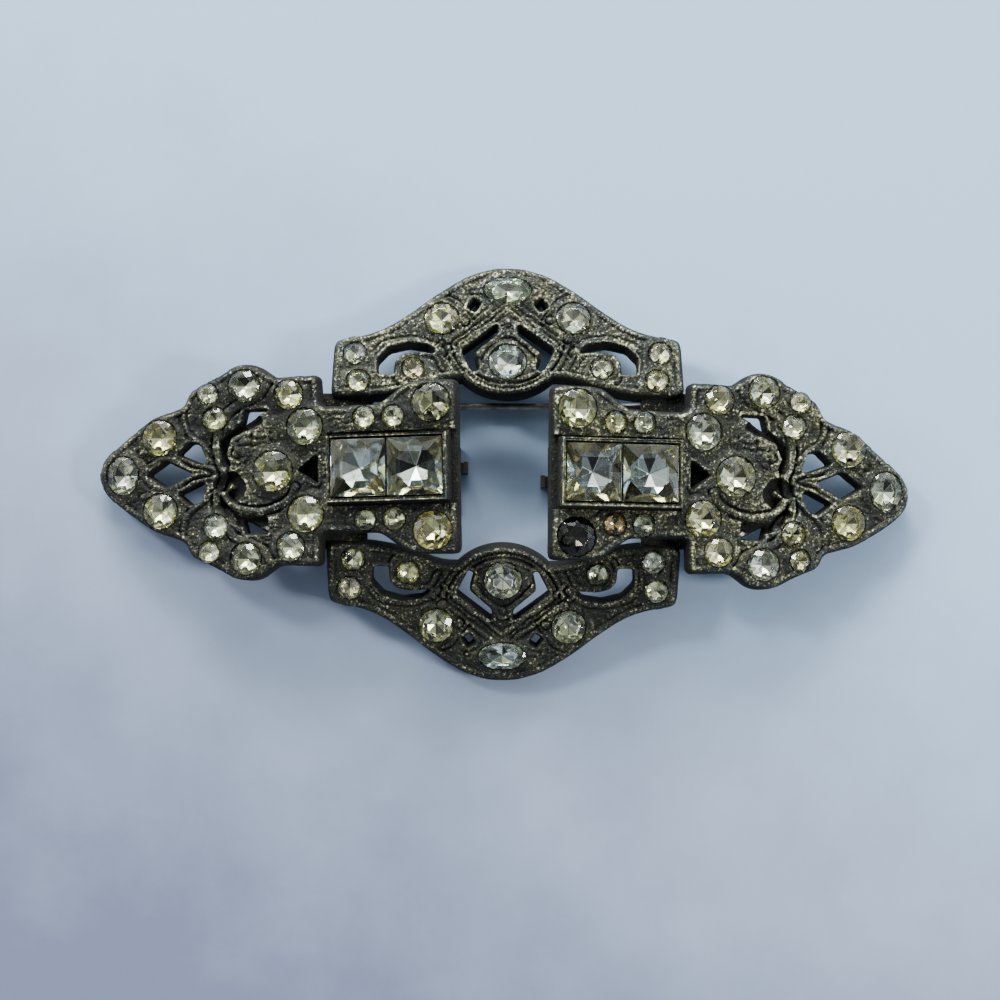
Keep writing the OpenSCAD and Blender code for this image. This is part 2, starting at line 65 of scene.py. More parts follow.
# Clips
CLIP_L, ARM_CLEAR, BLOCK_HALF, FLARE_HALF, WING_HALF = 35.1, 0.35, 6.0, 8.2, 10.3
CLIP_T, CLIP_TILT, CLIP_Z, WINDOW_HALF = 1.5, 11.0, 7.3, 4.1
BOX_W, BOX_WALL, BOX_H, BOX_IN, BOX_OUT = 6.4, 0.35, 1.6, 0.7, 1.05
TURN = {-1: -1.1, 1: -0.5}
LIFT = {-1: 0.2, 1: -0.4}
BEND = {-1: 0.0, 1: 1.4}
LOW = {-1: 0.0, 1: 0.25}
BLOCK_L = (ARCH_HALF + ARM_CLEAR - WINDOW_HALF) / math.cos(math.radians(CLIP_TILT))
BOX_L = BLOCK_L - BOX_IN - BOX_OUT
RAIL_END = ARCH_HALF + RAIL_OUT
RAIL_Z = CLIP_Z - (RAIL_END - WINDOW_HALF) * math.tan(math.radians(CLIP_TILT)) - RAIL_CLEAR - RAIL_T

# Stones and their cups: heights, the gap round a stone, its worn edges and how far it leans
RELIEF_H, CUP_FLOOR, CROWN_H, STONE_GAP = 0.35, 0.35, 0.45, 0.07
WORN_EDGE, SHARP, SHARP_WALL, LEAN = 0.03, math.radians(8), math.radians(50), 2.5
# Margin of a casting's grid, and where its cells and its edge vertices stop
MARGIN, GRID_EDGE, SNAP, LEAST_SLOPE = 0.5, 0.02, 1.5, 0.3
# No casting's point goes below the paper
OVER_PAPER = (-math.inf, -math.inf, 0)
# Reaches over which a point counts as low or high, the highest crest that counts, the wide reach's
# share and its most, and the walls' own value
NEAR, WIDE, CREST, WIDE_SHARE, WIDE_MOST, WALL_WEAR = 0.4, 1.1, 0.22, 0.6, 0.1, -0.05

# Crown side and arm side of an arch: shares of ARCH_HALF and ARCH_RISE
ARCH_CROWN = [
    (0, 1), (0.08, 0.995), (0.15, 0.97), (0.22, 0.94), (0.29, 0.89), (0.41, 0.79),
    (0.54, 0.66), (0.66, 0.555), (0.74, 0.505), (0.83, 0.47), (0.95, 0.445), (0.985, 0.41),
]
ARCH_ARM = [(1, 0), (0.74, 0), (0.6, 0.03), (0.46, 0.085), (0.34, 0.14)]
# Outer edge of a wing, and edge of the block's flare
WING_EDGE = [
    (0, 0.88), (0.19, 0.86), (0.23, 0.92), (0.27, 0.98), (0.32, 1), (0.38, 0.98),
    (0.43, 0.93), (0.48, 0.86), (0.59, 0.75), (0.61, 0.63), (0.74, 0.53), (0.85, 0.385),
    (0.93, 0.25), (0.975, 0.15), (1, 0.05),
]
FLARE_EDGE = [(0, 0.85), (0.03, 1), (0.36, 0.95), (0.55, 0.1), (0.6, 0)]
# Gaps through a clip: stations and shares of WING_HALF
WING_GAPS = [
    [(1.635, 0.185), (1.58, 0.285), (1.54, 0.265), (1.51, 0.13), (1.525, 0.085)],
    [(1.33, 0.565), (1.23, 0.565), (1.345, 0.44)],
]
POINT_GAP = [(1.775, 0), (1.69, 0.12), (1.575, 0), (1.69, -0.12)]
BOX_GAP = [(1.01, 0.125), (1.01, -0.125), (1.09, 0)]
# Gaps through an arch
CHEVRON_GAP = [(0.06, 0.545), (0.262, 0.35), (0.195, 0.19), (0.165, 0.21), (0.19, 0.33), (0.06, 0.47)]
CROWN_SLOT, SLOT_SIZE, SLOT_TURN = (0.19, 0.7), (0.06, 0.075), 35
COMMA_GAP = [
    (0.73, 0.17), (0.735, 0.28), (0.67, 0.37), (0.56, 0.405), (0.45, 0.385), (0.41, 0.335),
    (0.5, 0.345), (0.59, 0.33), (0.64, 0.28), (0.645, 0.17),
]


# ---- placing

def rotation(axis, degrees):
    return np.array(Matrix.Rotation(math.radians(degrees), 3, axis))


class Place:
    """Carries points from a casting's own frame to the scene and back."""

    def __init__(self, turn, shift):
        self.turn, self.shift = turn, np.array(shift, float)

    def out(self, points):
        return (np.asarray(points, float) @ self.turn.T + self.shift) * MM

    def back(self, points):
        return (np.asarray(points, float) / MM - self.shift) @ self.turn

    def flips(self):
        return np.linalg.det(self.turn) < 0


def clip_place(side):
    turn = np.diag([side, 1, 1]) @ rotation("Z", TURN[side]) @ rotation("Y", CLIP_TILT)
    return Place(turn, [side * WINDOW_HALF, LIFT[side], CLIP_Z])


def arch_place(end):
    outer = (rotation("Z", BOTTOM_TURN) if end < 0 else np.eye(3)) @ np.diag([1, end, 1])
    shift = outer @ np.array([0 if end < 0 else TOP_SHIFT, ARM_GAP_HALF, ARCH_Z])
    return Place(outer @ rotation("X", -ARCH_TILT), shift)


def on_clip(station, share):
    if station <= 1:
        return station * BLOCK_L, share * BLOCK_HALF
    return BLOCK_L + (station - 1) * (CLIP_L - BLOCK_L), share * WING_HALF


def droop(u, side):
    """How far a clip's wing has bent down at a place along it."""
    along = np.clip((np.asarray(u, float) - BLOCK_L) / (CLIP_L - BLOCK_L), 0, None)
    return BEND[side] * along ** 2


def bend(points, side):
    points = np.array(points, float)
    points[:, 1] -= droop(points[:, 0], side)
    return points


def on_arch(share, rise):
    return share * ARCH_HALF, rise * ARCH_RISE


# ---- fields over a casting's face

def soften(loop, reach):
    """Rounds a closed loop's corners, over no more than a given length of each side."""
    loop = np.array(loop, float)
    sides = np.roll(loop, -1, 0) - loop
    lengths = np.hypot(*sides.T)[:, None]
    cut = np.minimum(reach, 0.5 * lengths) / lengths
    loop = np.stack([loop + sides * cut * 0.5, loop + sides * (1 - cut * 0.5)], 1).reshape(-1, 2)
    after = np.roll(loop, -1, 0)
    lengths = np.hypot(*(after - loop).T)[:, None]
    cut = np.minimum(0.25 * reach, 0.25 * lengths) / lengths
    return np.stack([loop + (after - loop) * cut, after - (after - loop) * cut], 1).reshape(-1, 2)


def line_field(points, line):
    """Distance to an open line of points, and the place along it of its nearest point."""
    best = np.full(len(points), np.inf)
    along = np.zeros(len(points))
    start = 0.0
    for a, b in zip(line[:-1], line[1:]):
        a, edge = np.array(a, float), np.array(b, float) - np.array(a, float)
        length = math.hypot(*edge)
        if length < TINY:
            continue
        rel = points - a
        t = np.clip(rel @ edge / length ** 2, 0, 1)
        d = np.hypot(rel[:, 0] - t * edge[0], rel[:, 1] - t * edge[1])
        near = d < best
        best[near] = d[near]
        along[near] = start + t[near] * length
        start += length
    return best, along


def polygon_field(points, loop):
    """The same for a closed loop, with the distance positive inside and negative outside."""
    ends = np.roll(loop, -1, 0)
    best, along = line_field(points, np.vstack([loop, loop[:1]]))
    odd = np.zeros(len(points), bool)
    for a, b in zip(loop, ends):
        if a[1] != b[1]:
            crosses = (a[1] > points[:, 1]) != (b[1] > points[:, 1])
            odd ^= crosses & (points[:, 0] < a[0] + (points[:, 1] - a[1]) / (b - a)[1] * (b - a)[0])
    return np.where(odd, best, -best), along


def with_gaps(points, edge, gaps):
    """Distance to an outline, cut down to the distance to the nearest gap."""
    inside = edge.copy()
    for gap in gaps:
        inside = np.minimum(inside, -polygon_field(points, gap)[0])
    return inside


def curve(points, steps=8):
    """A smooth line through a few points."""
    points = np.array(points, float)
    ends = np.vstack([2 * points[0] - points[1], points, 2 * points[-1] - points[-2]])
    t = np.linspace(0, 1, steps, endpoint=False)[:, None]
    out = []
    for p0, p1, p2, p3 in zip(ends[:-3], ends[1:-2], ends[2:-1], ends[3:]):
        out.append(0.5 * (2 * p1 + (p2 - p0) * t + (2 * p0 - 5 * p1 + 4 * p2 - p3) * t ** 2
                          + (3 * p1 - p0 - 3 * p2 + p3) * t ** 3))
    return np.vstack(out + [points[-1:]])


def round_ridge(d, half):
    """Half-round ridge of a given half width, with height 0 to 1."""
    return np.sqrt(np.clip(1 - (d / half) ** 2, 0, None))


def bead_row(d, along, pitch):
    """Row of round grains along a line, in millimetres of height."""
    offset = (along / pitch % 1 - 0.5) * pitch
    r = pitch / 2
    return np.sqrt(np.clip(r ** 2 - d ** 2 - offset ** 2, 0, None))


# Random numbers on a grid that repeats, a grain's radius as a share of its pitch, and its least height
TILE, GRAIN_R, GRAIN_LOW = 64, 0.62, 0.45
JITTER = RNG.random((TILE, TILE, 3))


def grain(points, pitch, spread=0.8):
    """Packed round grains of uneven height, 0 to 1."""
    cell = np.floor(points / pitch).astype(int)
    best = np.zeros(len(points))
    for i in (-1, 0, 1):
        for j in (-1, 0, 1):
            at = cell + (i, j)
            seed = JITTER[at[:, 0] % TILE, at[:, 1] % TILE]
            site = (at + 0.5 + spread * (seed[:, :2] - 0.5)) * pitch
            d = np.hypot(*(points - site).T) / (GRAIN_R * pitch)
            high = GRAIN_LOW + (1 - GRAIN_LOW) * seed[:, 2]
            best = np.maximum(best, round_ridge(d, 1) * high)
    return best


def drift(points, pitch, layer=0):
    """Smooth uneven field, 0 to 1."""
    at = points / pitch
    cell = np.floor(at).astype(int)
    t = at - cell
    t = t * t * (3 - 2 * t)

    def look(i, j):
        return JITTER[(cell[:, 0] + i) % TILE, (cell[:, 1] + j + 17 * layer) % TILE, layer % 3]

    low = look(0, 0) * (1 - t[:, 0]) + look(1, 0) * t[:, 0]
    high = look(0, 1) * (1 - t[:, 0]) + look(1, 1) * t[:, 0]
    return low * (1 - t[:, 1]) + high * t[:, 1]


# ---- stones as the CAD placed them

def loose_stones(node, place):
    """Centre, size and lowest and highest level of each stone of a CAD node, in a casting's frame."""
    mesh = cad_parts[node].data
    points = np.empty(len(mesh.vertices) * 3)
    mesh.vertices.foreach_get("co", points)
    points = points.reshape(-1, 3)
    keys, group = np.unique(np.round(points / (0.001 * MM)).astype(int), axis=0, return_inverse=True)
    group = group.ravel()
    label = np.arange(len(keys))
    edges = np.empty(len(mesh.edges) * 2, int)
    mesh.edges.foreach_get("vertices", edges)
    edges = group[edges.reshape(-1, 2)]
    while True:
        low = np.minimum(label[edges[:, 0]], label[edges[:, 1]])
        fresh = label.copy()
        np.minimum.at(fresh, edges[:, 0], low)
        np.minimum.at(fresh, edges[:, 1], low)
        if (fresh == label).all():
            break
        label = fresh
    local = place.back(points)
    stones = []
    for mark in np.unique(label):
        own = local[label[group] == mark]
        lo, hi = own.min(0), own.max(0)
        stones.append({"at": (lo + hi)[:2] / 2, "size": (hi - lo)[:2], "low": lo[2], "top": hi[2]})
    return stones


def nodes_of(prefix):
    return [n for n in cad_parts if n.startswith(prefix) and "stone" in n]


# ---- heights of the castings

# Worn surface: its least height, then the pitch and height of its swells and of two sizes of grains
FLOOR, SWELL, SWELL_H, COARSE, FINE, FINE_H = 0.1, 1.5, 0.26, 0.36, 0.27, 0.05
COARSE_H, COARSE_MORE, COARSE_PATCH = 0.05, 0.14, 0.9
WOBBLE, WOBBLE_PITCH = 0.22, 0.8


def rough(points, layer=0):
    """Height of the castings' worn surface: two sizes of grains on slow swells."""
    swell = drift(points, SWELL, layer)
    coarse = grain(points, COARSE) * (COARSE_H + COARSE_MORE * drift(points, COARSE_PATCH, layer + 1))
    return FLOOR + coarse + FINE_H * grain(points, FINE) + SWELL_H * (swell - 0.5)


def wobble(points):
    """Points moved a little, so that no line of the relief runs true."""
    shift = np.stack([drift(points, WOBBLE_PITCH, 1), drift(points, WOBBLE_PITCH, 2)], 1) - 0.5
    return points + WOBBLE * shift


# Metal heaped round a stone: its rise over the relief, reach, fall per mm and share of the surface
HEAP_RISE, HEAP_REACH, HEAP_FROM, HEAP_FALL, HEAP_ROUGH = 0.02, 0.8, 0.05, 0.35, 0.5
# Waves on it: height, number round the stone, shift per mm of the stone's place, and that axis
HEAP_WAVES = [(0.06, 3, 9, 0), (0.05, 7, 5, 1)]
SEAT_EDGE, SEAT_DROP, CUP_EDGE, CUP_RISE = 0.02, 0.1, -0.15, 0.1


def settings(height, points, stones, base):
    """Heaps worn metal round each stone, nearly flush with it, and sinks its seat."""
    for stone in stones:
        radius = stone["size"] / 2
        rel = points - stone["at"]
        d = (np.hypot(rel[:, 0] / radius[0], rel[:, 1] / radius[1]) - 1) * radius.min()
        angle = np.arctan2(rel[:, 1], rel[:, 0])
        swing = sum(high * np.cos(waves * angle + shift * stone["at"][axis])
                    for high, waves, shift, axis in HEAP_WAVES)
        fall = HEAP_FALL * np.clip(d - HEAP_FROM, 0, None)
        heap = base + RELIEF_H + HEAP_RISE + swing - fall + HEAP_ROUGH * (height - base - FLOOR)
        height = np.where(d < HEAP_REACH, np.maximum(height, heap), height)
        height = np.where(d < SEAT_EDGE, base - SEAT_DROP, height)
        height = np.where(d < CUP_EDGE, CUP_FLOOR + CUP_RISE, height)
    return height


# Ridges: the moat beside them, the share of the crest at their sides, their spread and roughness
MOAT_HALF, MOAT_D, RIDGE_SIDE, RIDGE_SPREAD, RIDGE_ROUGH = 0.13, 0.13, 0.5, 1.3, 0.4
BEAD, BEAD_SINK, BEAD_SHARE = 0.36, 0.14, 0.95


def raise_line(height, d, along, base, crest, half, beaded=True, moat=MOAT_D):
    """Raises a ridge along a line, with millegrain on it and a dark groove on both sides."""
    out = d - half
    groove = moat * round_ridge(out - MOAT_HALF, MOAT_HALF)
    height = np.where((out > 0) & (out < 2 * MOAT_HALF), height - groove, height)
    rise = RIDGE_SIDE + (1 - RIDGE_SIDE) * round_ridge(d, half * RIDGE_SPREAD)
    ridge = base + crest * rise + RIDGE_ROUGH * (height - base - FLOOR)
    if beaded:
        ridge = ridge - BEAD_SINK + BEAD_SHARE * bead_row(d, along, BEAD)
    return np.where(d < half, np.maximum(height, ridge), height)


# Rounding of the corners of outlines and gaps, and how far short of the wing the block's edge stops
CLIP_ROUND, CLIP_GAP_ROUND, BLOCK_SHORT = 0.7, 0.25, 0.15
ARCH_ROUND, ARCH_GAP_ROUND, SLOT_ROUND = 1.0, 0.35, 0.1


def clip_loop(side):
    """Outline of a clip as one closed loop."""
    block = [(a * BLOCK_L, BLOCK_HALF + b * (FLARE_HALF - BLOCK_HALF)) for a, b in FLARE_EDGE]
    block.append((BLOCK_L - BLOCK_SHORT, BLOCK_HALF))
    upper = [(BLOCK_L + a * (CLIP_L - BLOCK_L), b * WING_HALF - LOW[side]) for a, b in WING_EDGE]
    lower = [(u, -v - 2 * LOW[side]) for u, v in reversed(upper)]
    loop = block + upper + lower + [(u, -v) for u, v in reversed(block)]
    return bend(soften(loop, CLIP_ROUND), side)


def clip_gap_loops(side):
    gaps = [[(a, b * half) for a, b in gap] for half in (-1, 1) for gap in WING_GAPS]
    loops = [[on_clip(*p) for p in gap] for gap in gaps + [POINT_GAP, BOX_GAP]]
    return [bend(soften(loop, CLIP_GAP_ROUND), side) for loop in loops]


# Lines of a wing: stations and shares. Both halves have the ribs and the petal's rim. The upper
# half has a bulb full of grains behind a groove, and the lower half a hollow in a curl and a crescent.
RIBS = [
    [(1.46, 0.03), (1.56, 0.09), (1.66, 0.17), (1.72, 0.19), (1.8, 0.2)],
    [(1.5, 0), (1.58, 0.04), (1.67, 0.14), (1.76, 0.09), (1.8, 0)],
    [(1.47, 0.17), (1.53, 0.27), (1.58, 0.35), (1.61, 0.48), (1.61, 0.62)],
]
PETAL_RIM = [
    (1.21, 0.87), (1.25, 0.73), (1.31, 0.66), (1.39, 0.58), (1.44, 0.43), (1.46, 0.28), (1.45, 0.13),
    (1.43, 0.03),
]
GROOVE = [(1.27, 0.47), (1.34, 0.42), (1.4, 0.34), (1.43, 0.22), (1.42, 0.08)]
BULB = [
    (1.2, 0.4), (1.27, 0.41), (1.33, 0.37), (1.385, 0.3), (1.41, 0.2), (1.4, 0.07), (1.34, 0.07),
    (1.31, 0.17), (1.25, 0.23), (1.17, 0.27),
]
CURL = [
    (1.435, -0.2), (1.4, -0.29), (1.34, -0.35), (1.26, -0.365), (1.19, -0.33), (1.135, -0.26),
    (1.105, -0.15),
]
CRESCENT = [(1.44, -0.32), (1.39, -0.42), (1.32, -0.46), (1.25, -0.46)]
HOLLOW = [(1.44, -0.1), (1.39, -0.06), (1.36, -0.14), (1.39, -0.2)]
# Crest and half width of the ridges, and half width and depth of the grooves
RIB_SIZE, PETAL_SIZE, CURL_SIZE, DEEP_MOAT = (0.3, 0.22), (0.36, 0.34), (0.4, 0.3), 0.3
GROOVE_CUT, CRESCENT_CUT, HOLLOW_CUT = (0.42, 0.8), (0.55, 0.9), (0.75, 1.0)
# The bulb: rounding of its outline, its dome's start, rise and reach, and its grains
BULB_ROUND, BULB_LOW, BULB_RISE, BULB_REACH, BULB_ROUGH = 0.8, -0.15, 0.25, 0.5, 0.4
BULB_GRAIN, BULB_PITCH, BULB_SPREAD = 0.45, 0.62, 0.6
BULB_RIM_AT, BULB_RIM_HALF, BULB_RIM_RISE = 0.15, 0.18, 0.12
# The box: the line along its wall, the moat round it and the strip beside the window
WALL_LINE_AT, WALL_LINE_HALF, WALL_LINE_D = 0.19, 0.06, 0.12
BOX_MOAT_W, BOX_MOAT_LOW, STRIP_LOW, STRIP_PAST, STRIP_ROUGH = 0.25, -0.05, -0.25, 0.3, 0.3


def clip_line(points, line):
    return line_field(points, curve([on_clip(*p) for p in line]))


def carve(height, points, line, half, depth):
    """Cuts a round groove along a line of a clip's face."""
    return height - depth * round_ridge(clip_line(points, line)[0], half)


def clip_height(points, side, stones, inside, edge, along):
    """Height of a clip's face above its back."""
    flat = wobble(points)
    flat[:, 1] += droop(flat[:, 0], side)
    both = np.column_stack([flat[:, 0], np.abs(flat[:, 1])])
    height = CLIP_T + rough(points)
    for rib in RIBS:
        height = raise_line(height, *clip_line(both, rib), CLIP_T, *RIB_SIZE)
    rim = clip_line(both, PETAL_RIM)
    height = raise_line(height, *rim, CLIP_T, *PETAL_SIZE, beaded=False, moat=DEEP_MOAT)
    height = rims(height, CLIP_T, inside, edge, along, CLIP_SLOPE)
    height = carve(height, flat, GROOVE, *GROOVE_CUT)
    height = clip_bulb(height, points, flat)
    height = carve(height, flat, CRESCENT, *CRESCENT_CUT)
    height = raise_line(height, *clip_line(flat, CURL), CLIP_T, *CURL_SIZE, moat=DEEP_MOAT)
    height = settings(height, points, stones, CLIP_T)
    return clip_box(carve(height, flat, HOLLOW, *HOLLOW_CUT), points)


def clip_bulb(height, points, flat):
    """The domed bulb of the upper half, full of grains and edged with millegrain."""
    bulb, place = polygon_field(flat, soften([on_clip(*p) for p in BULB], BULB_ROUND))
    dome = CLIP_T + BULB_LOW + BULB_RISE * (1 - np.exp(-bulb / BULB_REACH))
    dome = dome + BULB_GRAIN * grain(points, BULB_PITCH, BULB_SPREAD)
    height = np.where(bulb > 0, dome + BULB_ROUGH * (rough(points, 1) - FLOOR), height)
    beads = CLIP_T + BULB_RIM_RISE + bead_row(bulb - BULB_RIM_AT, place, BEAD)
    return np.where(np.abs(bulb - BULB_RIM_AT) < BULB_RIM_HALF, np.maximum(height, beads), height)


def clip_box(height, points):
    """The open box for the two square stones, with a line along its wall."""
    u, v = points.T
    out = np.maximum(np.abs(u - BOX_IN - BOX_L / 2) - BOX_L / 2, np.abs(v) - BOX_W / 2)
    wall = CLIP_T + BOX_H - WALL_LINE_D * round_ridge(out + WALL_LINE_AT, WALL_LINE_HALF)
    strip = (out > 0) & (u < BOX_IN) & (np.abs(v) < BOX_W / 2 + STRIP_PAST)
    height = np.where(strip, CLIP_T + STRIP_LOW + STRIP_ROUGH * (rough(points) - FLOOR), height)
    moat = (out > 0) & (out < BOX_MOAT_W)
    height = np.where(moat, np.minimum(height, CLIP_T + BOX_MOAT_LOW), height)
    height = np.where((out <= 0) & (out > -BOX_WALL), wall, height)
    return np.where(out <= -BOX_WALL, CLIP_T, height)


# Outer rim: place and rise of its millegrain, and the line inside it
RIM_W, RIM_RISE, RIM_LINE_AT, RIM_LINE_HALF, RIM_LINE_D = 0.5, 0.1, 0.8, 0.1, 0.08
# Outer edge: where it starts to fall, how much of the relief it keeps, its level, and its bow
EDGE_W, EDGE_KEEP, EDGE_RISE, EDGE_BOW, CLIP_SLOPE, ARCH_SLOPE = 0.36, 0.35, 0.16, 1.4, 0.5, 0.25
# Lip round a gap, and how deep the metal falls towards a gap and towards the outer edge
LIP_W, LIP_AT, LIP_H, GAP_NEAR, FALL_W, GAP_FALL, EDGE_FALL = 0.45, 0.26, 0.24, 0.05, 0.2, 0.45, 0.16


def rims(height, base, inside, edge, along, slope):
    """A row of millegrain along the outer edge, which falls off outside it, and a thin lip round each gap."""
    line = RIM_LINE_D * round_ridge(edge - RIM_LINE_AT, RIM_LINE_HALF)
    height = np.where(np.abs(edge - RIM_LINE_AT) < RIM_LINE_HALF, height - line, height)
    beads = base + RIM_RISE + bead_row(edge - RIM_W, along, BEAD)
    height = np.where(np.abs(edge - RIM_W) < BEAD / 2, np.maximum(height, beads), height)
    outer = np.clip(1 - edge / EDGE_W, 0, 1)
    worn = EDGE_KEEP * height + (1 - EDGE_KEEP) * (base + EDGE_RISE) - slope * outer ** EDGE_BOW
    height = np.where(edge < EDGE_W, worn, height)
    by_gap = edge > inside + GAP_NEAR
    lip = base + LIP_H * round_ridge(inside - LIP_AT, LIP_H)
    height = np.where((inside < LIP_W) & by_gap, np.maximum(height, lip), height)
    fall = np.clip(1 - inside / FALL_W, 0, 1)
    return height - np.where(by_gap, GAP_FALL, EDGE_FALL) * fall ** 2


def arch_loop():
    """Outline of an arch without its rounded ornament."""
    half = ARCH_CROWN + ARCH_ARM
    loop = half + [(-a, b) for a, b in reversed(half[1:])]
    return soften([on_arch(*p) for p in loop], ARCH_ROUND)


def arch_gap_loops():
    slot = np.array([(-1, -1), (1, -1), (1, 1), (-1, 1)]) * np.array(SLOT_SIZE) * ARCH_RISE / 2
    turned = slot @ rotation("Z", SLOT_TURN)[:2, :2].T + on_arch(*CROWN_SLOT)
    right = [soften([on_arch(*p) for p in gap], ARCH_GAP_ROUND) for gap in (CHEVRON_GAP, COMMA_GAP)]
    right.append(soften(turned, SLOT_ROUND))
    return right + [loop * (-1, 1) for loop in right]


# Lines of the right half of an arch: shares of its half length and of its rise
CHEVRONS = [
    [(0, 0.655), (0.265, 0.4), (0.34, 0.3)],
    [(0, 0.745), (0.2, 0.56), (0.4, 0.37)],
    [(0.06, 0.7), (0.15, 0.79), (0.2, 0.8)],
    [(0.2, 0.56), (0.29, 0.72), (0.34, 0.76)],
]
TULIP = [(0, 0.5), (0.06, 0.46), (0.13, 0.39), (0.175, 0.32)]
DOTS = [(0, 0.48), (0.245, 0.575), (0.345, 0.44), (0.43, 0.5)]
LEAF = [(0.37, 0.2), (0.41, 0.29), (0.5, 0.315), (0.59, 0.3), (0.63, 0.22), (0.62, 0.12), (0.55, 0.06)]
LEAF_RIM = [(0.36, 0.33), (0.42, 0.4), (0.55, 0.44), (0.69, 0.4), (0.775, 0.29), (0.765, 0.14)]
# Rings of the ornament: depth inside its edge, crest and half width
ALMOND_RINGS = [(0.32, 0.34, 0.2), (0.85, 0.26, 0.16), (1.45, 0.22, 0.16)]
# The ornament ends at a rise that falls along the arch. Its ground is gritty, up to a share
ALMOND_TOP, ALMOND_FALL, GRIT_TO, GRIT_H, GRIT_PITCH, GRIT_SPREAD = 0.47, 0.25, 0.36, 0.2, 0.5, 0.6
# Crest and half width of the ridges
CHEVRON_SIZE, TULIP_SIZE, LEAF_SIZE, LEAF_RIM_SIZE = (0.3, 0.18), (0.5, 0.46), (0.34, 0.18), (0.2, 0.18)
# Dots: radius with their moat, share of it without, and depth, rise and height
DOT_R, DOT_SHARE, DOT_MOAT, DOT_RISE, DOT_H, DOT_BOW = 0.55, 0.75, 0.2, 0.1, 0.3, 0.8


def almond_field(points):
    """Depth inside the edge of an arch's round ornament, and the angle about its centre."""
    rel = points - (0, ALMOND_HALF + PIECE_GAP)
    return ALMOND_HALF - np.hypot(*rel.T), np.arctan2(rel[:, 1], rel[:, 0])


def arch_line(points, line, smooth=False):
    line = [on_arch(*p) for p in line]
    return line_field(points, curve(line) if smooth else line)


def arch_height(points, stones, inside, edge, along):
    """Height of an arch's face above its back."""
    flat = wobble(points)
    flat[:, 0] = np.abs(flat[:, 0])
    height = ARCH_T + rough(points, 1)
    ring, angle = almond_field(points)
    low = points[:, 1] < (ALMOND_TOP - ALMOND_FALL * flat[:, 0] / ARCH_HALF) * ARCH_RISE
    grit = ARCH_T + GRIT_H * grain(points, GRIT_PITCH, GRIT_SPREAD)
    ground = low & (ring > 0) & (flat[:, 0] < GRIT_TO * ARCH_HALF)
    height = np.where(ground, np.maximum(height, grit), height)
    for depth, crest, half in ALMOND_RINGS:
        place = angle * (ALMOND_HALF - depth)
        raised = raise_line(height, np.abs(ring - depth), place, ARCH_T, crest, half)
        height = np.where(low, raised, height)
    for line in CHEVRONS:
        height = raise_line(height, *arch_line(flat, line), ARCH_T, *CHEVRON_SIZE)
    height = raise_line(height, *arch_line(flat, TULIP), ARCH_T, *TULIP_SIZE, beaded=False)
    for at in DOTS:
        d = np.hypot(*(flat - on_arch(*at)).T)
        dot = ARCH_T + DOT_RISE + DOT_H * round_ridge(d, DOT_R * DOT_BOW)
        height = np.where((d > DOT_R * DOT_SHARE) & (d < DOT_R), height - DOT_MOAT, height)
        height = np.where(d < DOT_R * DOT_SHARE, dot, height)
    for line, size in ((LEAF, LEAF_SIZE), (LEAF_RIM, LEAF_RIM_SIZE)):
        height = raise_line(height, *arch_line(flat, line, smooth=True), ARCH_T, *size)
    height = rims(height, ARCH_T, inside, edge, along, ARCH_SLOPE)
    return settings(height, points, stones, ARCH_T)


# ---- meshes

def square_sum(grid, reach):
    """Sum of a grid over a square neighbourhood."""
    for axis in (0, 1):
        ends = [(0, 0), (0, 0)]
        ends[axis] = (reach + 1, reach)
        summed = np.cumsum(np.pad(grid, ends), axis)
        here = np.arange(grid.shape[axis])
        grid = np.take(summed, here + 2 * reach + 1, axis) - np.take(summed, here, axis)
    return grid


def above_mean(grid, mask, reach_mm, least):
    """How far a grid stands above its mean over a square, taken over the masked cells only."""
    reach = max(least, round(reach_mm / CELL))
    count = square_sum(mask.astype(float), reach)
    return grid - square_sum(grid * mask, reach) / np.maximum(count, 1)


def seats(points, stones):
    """Where the stones sit."""
    taken = np.zeros(len(points), bool)
    for stone in stones:
        rel = (points - stone["at"]) / (stone["size"] / 2 + STONE_GAP)
        taken |= np.hypot(*rel.T) < 1
    return taken


